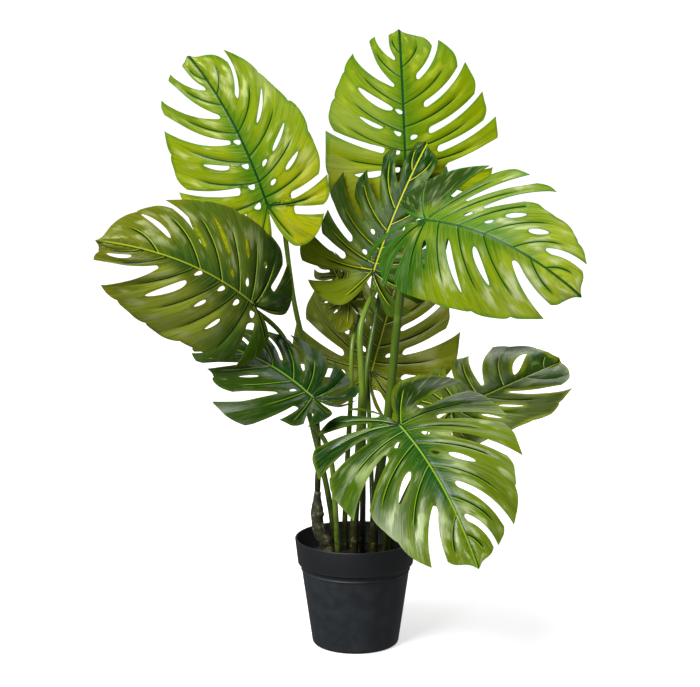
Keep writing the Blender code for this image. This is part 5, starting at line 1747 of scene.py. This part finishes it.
@dataclass
class Pot:
    """The round tapered nursery pot with its deep rim band.

    height, band_height: of the whole pot and of its band. rim, band, neck, foot: the outside radii of the
    rim, of the band's lower edge, under the band and at the foot. wall, floor: how thick they are. step:
    how far below the band the wall bends inside. lip, foot_round: the rounding of the rim and the band's
    edge, and of the foot. ridge: how far the ridge under the band stands out, and ridge_height: how high
    it is. corner: the bevel round the floor inside. groove: the outer and inner radius of the hollow ring
    under the floor, groove_depth: how deep it is, and groove_side: how far its sides slope. hub: how far
    the middle of the underside is set in. gap: the small steps in the outline. shaded: the heights between
    which the body's colour turns into the darker band colour, painted shade for the leaves' shadow on the
    band. steps: how many points go round the pot.
    """

    height: float = 0.135
    rim: float = 0.075
    band_height: float = 0.032
    band: float = 0.0715
    neck: float = 0.0665
    foot: float = 0.054
    foot_round: float = 0.005
    wall: float = 0.0025
    floor: float = 0.003
    step: float = 0.006
    lip: float = 0.0012
    ridge: float = 0.0011
    ridge_height: float = 0.0030
    corner: float = 0.002
    groove: tuple[float, float] = (0.044, 0.030)
    groove_depth: float = 0.0010
    groove_side: float = 0.0005
    hub: float = 0.0002
    gap: float = 0.0002
    shaded: tuple[float, float] = (0.100, 0.108)
    steps: int = 144

    def inner(self, z: float) -> float:
        """Inside radius below the band."""
        share = z / (self.height - self.band_height)
        return self.foot - self.wall + share * (self.neck - self.foot)

    def profile(self) -> Pairs:
        """The outline from the middle of the floor inside, over the rim, to the middle of the foot.

        Returns:
            Rows of radius and height.
        """
        band_foot = self.height - self.band_height
        step = band_foot - self.step
        corner = self.floor + self.corner
        inside = [(0.0, self.floor), (self.inner(self.floor) - self.corner, self.floor),
                  (self.inner(corner), corner), (self.inner(step), step),
                  (self.band - self.wall, band_foot + self.wall)]
        rim = arc(self.rim - self.lip, self.height - self.lip, self.lip, 180, 0, 9)
        band_edge = arc(self.band - self.lip, band_foot + self.lip, self.lip, 0, -90, 5)
        under = [(self.neck + 3 * self.gap, band_foot - self.gap / 2),
                 (self.neck + self.gap, band_foot - self.lip)]
        ridge = [(self.neck + self.gap + self.ridge * math.sin(math.pi * share),
                  step + self.gap - self.ridge_height * share) for share in np.linspace(0, 1, 9)]
        foot = arc(self.foot - self.foot_round, self.foot_round, self.foot_round, 0, -90, 7)
        outer, inner = self.groove
        base = [(outer, 0.0), (outer - self.groove_side, self.groove_depth), (inner, self.groove_depth),
                (inner - self.groove_side, self.hub), (0.0, self.hub)]
        return inside + rim + band_edge + under + ridge + foot + base

    def build(self) -> Object:
        """Make the pot's piece."""
        return add_piece("pot_shell", lathe("pot_shell", self.profile(), self.steps), self.finish())

    def finish(self) -> Material:
        """Matt charcoal plastic with painted shade on the band for the leaves' shadow, mottling, fine
        moulding grain and light scuffs.

        Returns:
            The material.
        """
        tree = ShaderTree("charcoal plastic")
        cloud = tree.noise(tree.place(), scale=60.0, detail=4.0, roughness=0.6)
        grain = tree.noise(tree.place(), scale=1500.0)
        scuff = tree.noise(tree.place(), scale=260.0, detail=5.0, roughness=0.75)
        height = tree.parts(tree.place())[2]
        colour = tree.layered(
            srgb(34, 38, 42),
            (tree.step(cloud, 0.3, 0.75), srgb(48, 54, 59)),
            # Painted shade: the band darker, for the shadow that the leaves cast on it
            (tree.step(height, *self.shaded), srgb(27, 31, 33)),
            (tree.step(scuff, 0.62, 0.8) * 0.3, srgb(72, 76, 82)),
        )
        surface = tree.bump(grain * 0.4 + scuff * 0.6, strength=0.25, distance=0.4 * MM)
        return tree.finish(colour, 0.52 + (cloud - 0.5) * 0.15, surface)


def lathe(name: str, profile: Pairs, steps: int, sharp: float = 40.0) -> Mesh:
    """A closed shape turned about Z.

    Args:
        name: the mesh's name.
        profile: radius and height, starting and ending on the axis.
        steps: how many steps make the round.
        sharp: the angle in degrees from which an edge stays sharp.

    Returns:
        The mesh with its faces pointing outwards.
    """
    form = bmesh.new()
    verts = [form.verts.new((r, 0.0, z)) for r, z in profile]
    edges = [form.edges.new(pair) for pair in zip(verts, verts[1:])]
    bmesh.ops.spin(form, geom=verts + edges, axis=(0, 0, 1), cent=(0, 0, 0), steps=steps,
                   angle=2 * math.pi, use_merge=True, use_duplicate=False)
    bmesh.ops.remove_doubles(form, verts=form.verts, dist=TINY)
    bmesh.ops.recalc_face_normals(form, faces=form.faces)
    mesh = bpy.data.meshes.new(name)
    form.to_mesh(mesh)
    form.free()
    mesh.shade_smooth()
    mesh.set_sharp_from_angle(angle=math.radians(sharp))
    return mesh


@dataclass
class Soil:
    """The dark filling of the pot, with loose crumbs on top.

    sides: radius and height of the rings down its side, inside the pot. rings, steps: how many rings and
    spokes its top has. lumps: how many it has. lump_reach: how far out they lie. lump_width, lump_height:
    the least and the most of their size. set_in: how far the top lies below the level. swell: the most
    that the lumps add up to. sink: how far the top drops at its margin. crumbs: how many there are on a
    square metre. crumb_size: the radius of a crumb, and crumb_scale: the least and the most share of it
    that one has. crumb_turn: the most that it is turned. under: how deep below the level they still lie.
    """

    level: float = SOIL_LEVEL
    radius: float = 0.0700
    sides: tuple[tuple[float, float], ...] = ((0.0683, 0.1053), (0.0616, 0.0965), (0.0515, 0.0036))
    rings: int = 34
    steps: int = 120
    lumps: int = 46
    lump_reach: float = 0.07
    lump_width: tuple[float, float] = (0.003, 0.010)
    lump_height: tuple[float, float] = (-0.0012, 0.0014)
    set_in: float = 0.0005
    swell: float = 0.002
    sink: float = 0.002
    crumbs: float = 120000.0
    crumb_size: float = 1.7 * MM
    crumb_scale: tuple[Point, Point] = ((0.3, 0.3, 0.25), (1.5, 1.2, 0.8))
    crumb_turn: float = 6.3
    under: float = 0.006
    seed: int = 7

    def build(self) -> Object:
        """Make the bed and strew it with crumbs.

        Returns:
            The piece.
        """
        material = self.finish()
        piece = add_piece("soil_bed", self.bed(), material)
        self.strew(piece, material)
        return piece

    def heights(self, x: Array, y: Array) -> Array:
        """Heights of the lumpy top at given places.

        Args:
            x, y: the places.

        Returns:
            A height for each place.
        """
        draw = np.random.default_rng(self.seed)
        z = np.zeros_like(x)
        for _ in range(self.lumps):
            cx, cy = draw.uniform(-self.lump_reach, self.lump_reach, 2)
            width = draw.uniform(*self.lump_width)
            z += draw.uniform(*self.lump_height) * np.exp(-((x - cx) ** 2 + (y - cy) ** 2) / width ** 2)
        fall = self.sink * (np.hypot(x, y) / self.radius) ** 2
        return self.level - self.set_in + np.clip(z, -self.swell, self.swell) - fall

    def bed(self) -> Mesh:
        """A lumpy disc with a side that goes down inside the pot.

        Returns:
            The mesh.
        """
        angle = angles_round(self.steps)
        radius = self.radius * np.linspace(0, 1, self.rings + 1)[1:]
        x = np.outer(radius, np.cos(angle)).ravel()
        y = np.outer(radius, np.sin(angle)).ravel()
        points = [(0.0, 0.0, self.level)] + list(zip(x, y, self.heights(x, y)))
        for across, up in self.sides:
            points += [(across * math.cos(a), across * math.sin(a), up) for a in angle]
        spokes = [(k, (k + 1) % self.steps) for k in range(self.steps)]
        faces = [(0, 1 + k, 1 + after) for k, after in spokes]
        for ring in range(self.rings + len(self.sides) - 1):
            near = 1 + ring * self.steps
            far = near + self.steps
            faces += [(near + k, far + k, far + after, near + after) for k, after in spokes]
        faces.append(tuple(range(len(points) - self.steps, len(points)))[::-1])
        mesh = bpy.data.meshes.new("soil_bed")
        mesh.from_pydata(points, [], faces)
        mesh.shade_smooth()
        return mesh

    def strew(self, piece: Object, material: Material) -> None:
        """Scatter crumbs over the top of the bed and make them part of its mesh.

        Args:
            piece: the bed.
            material: the crumbs' finish.
        """
        group = bpy.data.node_groups.new("soil crumbs", "GeometryNodeTree")
        plan = group.interface
        inputs = {
            "Crumbs per square metre": ("NodeSocketFloat", self.crumbs),
            "Crumb size": ("NodeSocketFloat", self.crumb_size),
            "Level of the soil": ("NodeSocketFloat", self.level - self.under),
            "Seed": ("NodeSocketInt", self.seed),
            "Crumb finish": ("NodeSocketMaterial", material),
        }
        plan.new_socket("Geometry", in_out="INPUT", socket_type="NodeSocketGeometry")
        names = {label: plan.new_socket(label, in_out="INPUT", socket_type=kind).identifier
                 for label, (kind, _) in inputs.items()}
        plan.new_socket("Geometry", in_out="OUTPUT", socket_type="NodeSocketGeometry")
        tree = NodeTree(group)
        given = tree.node("NodeGroupInput").outputs
        place = tree.node("ShaderNodeSeparateXYZ", Vector=tree.node("GeometryNodeInputPosition").outputs[0])
        on_top = tree.node("FunctionNodeCompare", {"data_type": "FLOAT", "operation": "GREATER_THAN"})
        tree.feed(on_top.inputs[0], place.outputs["Z"])
        tree.feed(on_top.inputs[1], given["Level of the soil"])
        spots = tree.node("GeometryNodeDistributePointsOnFaces", {"distribute_method": "RANDOM"},
                          Mesh=given["Geometry"], Selection=on_top.outputs[0],
                          Density=given["Crumbs per square metre"], Seed=given["Seed"])
        crumb = tree.node("GeometryNodeMeshIcoSphere", Radius=given["Crumb size"], Subdivisions=1)
        turn = self.drawn(tree, given["Seed"], (0.0, 0.0, 0.0), (self.crumb_turn,) * 3)
        scale = self.drawn(tree, given["Seed"], *self.crumb_scale)
        strewn = tree.node("GeometryNodeInstanceOnPoints", Points=spots.outputs["Points"],
                           Instance=crumb.outputs["Mesh"], Rotation=turn, Scale=scale)
        real = tree.node("GeometryNodeRealizeInstances", Geometry=strewn.outputs[0])
        dressed = tree.node("GeometryNodeSetMaterial", Geometry=real.outputs[0],
                            Material=given["Crumb finish"])
        joined = tree.node("GeometryNodeJoinGeometry", Geometry=given["Geometry"])
        tree.feed(joined.inputs[0], dressed.outputs[0])
        tree.node("NodeGroupOutput", Geometry=joined.outputs[0])
        modifier = piece.modifiers.new("crumbs", "NODES")
        modifier.node_group = group
        for label, (_, value) in inputs.items():
            modifier[names[label]] = value
        baked(piece)

    def drawn(self, tree: NodeTree, seed: NodeSocket, low: Point, high: Point) -> NodeSocket:
        """Three numbers drawn for each crumb, between low and high.

        Args:
            tree: the crumbs' nodes.
            seed: the seed.
            low, high: the limits.

        Returns:
            The numbers.
        """
        made = tree.node("FunctionNodeRandomValue", {"data_type": "FLOAT_VECTOR"}, Seed=seed)
        tree.feed(made.inputs[0], low)
        tree.feed(made.inputs[1], high)
        return made.outputs[0]

    def finish(self) -> Material:
        """Nearly black damp crumbs.

        Returns:
            The material.
        """
        tree = ShaderTree("dark soil")
        cloud = tree.noise(tree.place(), scale=300.0, detail=4.0, roughness=0.7)
        wet = tree.noise(tree.place(), scale=45.0)
        colour = tree.mix(tree.step(cloud, 0.35, 0.75), srgb(14, 13, 12), srgb(46, 40, 33))
        roughness = 0.85 - tree.step(wet, 0.5, 0.7) * 0.35
        return tree.finish(colour, roughness, tree.bump(cloud, strength=0.6, distance=1.0 * MM))


# Studio

@dataclass(frozen=True)
class Softbox:
    """A square soft light: its place, the point it looks at, its side in metres and its power in watts."""

    name: str
    place: Point
    target: Point
    size: float
    power: float

    def build(self) -> None:
        """Put the light into the scene."""
        data = bpy.data.lights.new(self.name, "AREA")
        data.shape = "SQUARE"
        data.size = self.size
        data.energy = self.power
        light = put_in_scene(self.name, data)
        light.location = self.place
        towards = Vector(self.target) - Vector(self.place)
        light.rotation_euler = towards.to_track_quat("-Z", "Y").to_euler()


@dataclass
class Studio:
    """The pale floor, the soft lights and the camera at the photograph's place.

    eye, pitch: the camera's place and how far it looks down in degrees. focal_pixels, frame_width: its
    focal length and its picture's width in pixels. sun_from: the direction of the broad light, sun_width:
    how wide it looks in degrees. floor_glow: the light that the floor gives off, so that it stays white.
    """

    eye: Point = (-0.0069, -2.6, 0.871)
    pitch: float = 10.72
    focal_pixels: float = 2171.0
    frame_width: float = 700.0
    sensor: float = 36.0
    sky_strength: float = 0.20
    sun_from: Point = (-0.55, -0.75, 1.15)
    sun_strength: float = 1.3
    sun_width: float = 30.0
    softboxes: tuple[Softbox, ...] = (
        Softbox("key light", (-1.3, -1.7, 2.1), (-0.02, 0.05, 0.42), size=1.3, power=56.0),
        Softbox("overhead light", (0.2, 0.7, 2.4), (0.0, 0.05, 0.35), size=1.0, power=13.0),
        Softbox("back light", (0.6, 2.3, 1.5), (0.0, 0.05, 0.40), size=0.8, power=4.0),
    )
    floor_reach: float = 30.0
    floor_colour: Colour = (0.93, 0.93, 0.93)
    floor_glow: float = 0.60

    def build(self) -> None:
        """Make everything that isn't part of the plant."""
        self.camera()
        self.floor()
        self.sky()
        self.sun()
        for softbox in self.softboxes:
            softbox.build()

    def camera(self) -> None:
        """Set the camera where the photograph was taken from."""
        data = bpy.data.cameras.new("camera")
        data.sensor_width = self.sensor
        data.lens = self.sensor * self.focal_pixels / self.frame_width
        camera = put_in_scene("camera", data)
        camera.location = self.eye
        camera.rotation_euler = (math.radians(90 - self.pitch), 0.0, 0.0)
        bpy.context.scene.camera = camera
        bpy.context.scene.view_settings.view_transform = "Standard"

    def floor(self) -> None:
        """A wide white floor that the plant neither mirrors nor takes light from."""
        mesh = bpy.data.meshes.new("floor")
        corners = [(x * self.floor_reach, y * self.floor_reach, 0.0)
                   for x, y in ((-1, -1), (1, -1), (1, 1), (-1, 1))]
        mesh.from_pydata(corners, [], [(0, 1, 2, 3)])
        white = ShaderTree("white floor").finish(
            self.floor_colour, 0.9, Specular_IOR_Level=0.0, Emission_Strength=self.floor_glow,
            Emission_Color=(1.0, 1.0, 1.0))
        floor = add_piece("floor", mesh, white)
        floor.visible_diffuse = False
        floor.visible_glossy = False

    def sky(self) -> None:
        """Even white light from all round."""
        world = bpy.data.worlds.new("studio")
        world.use_nodes = True
        back = world.node_tree.nodes["Background"]
        back.inputs["Color"].default_value = (1.0, 1.0, 1.0, 1.0)
        back.inputs["Strength"].default_value = self.sky_strength
        bpy.context.scene.world = world

    def sun(self) -> None:
        """A far broad light that gives the plant soft shadows."""
        data = bpy.data.lights.new("broad light", "SUN")
        data.energy = self.sun_strength
        data.angle = math.radians(self.sun_width)
        light = put_in_scene("broad light", data)
        light.rotation_euler = Vector(self.sun_from).to_track_quat("Z", "Y").to_euler()


def hand_over(piece: Object, node: str) -> None:
    """Tie a piece to the body and let it stand for its CAD node.

    Args:
        piece: the piece.
        node: the CAD node.
    """
    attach(piece, "root")
    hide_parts(node)
    log.info("%s: %d faces", piece.name, len(piece.data.polygons))


def main() -> None:
    """Build the studio and the plant, piece by piece."""
    logging.basicConfig(level=logging.INFO, format="%(message)s")
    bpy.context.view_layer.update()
    Studio().build()
    hand_over(Pot().build(), "pot")
    hand_over(Soil().build(), "soil")
    hand_over(Cane().build(), "cane")
    for stalk in STALKS:
        hand_over(stalk.build(), stalk.name)
    order = sorted(LEAVES)
    for name, (shape, paint) in LEAVES.items():
        leaf = Leaf(name, shape, paint, seed=order.index(name))
        hand_over(leaf.build(), name)


if __name__ == "__main__":
    main()
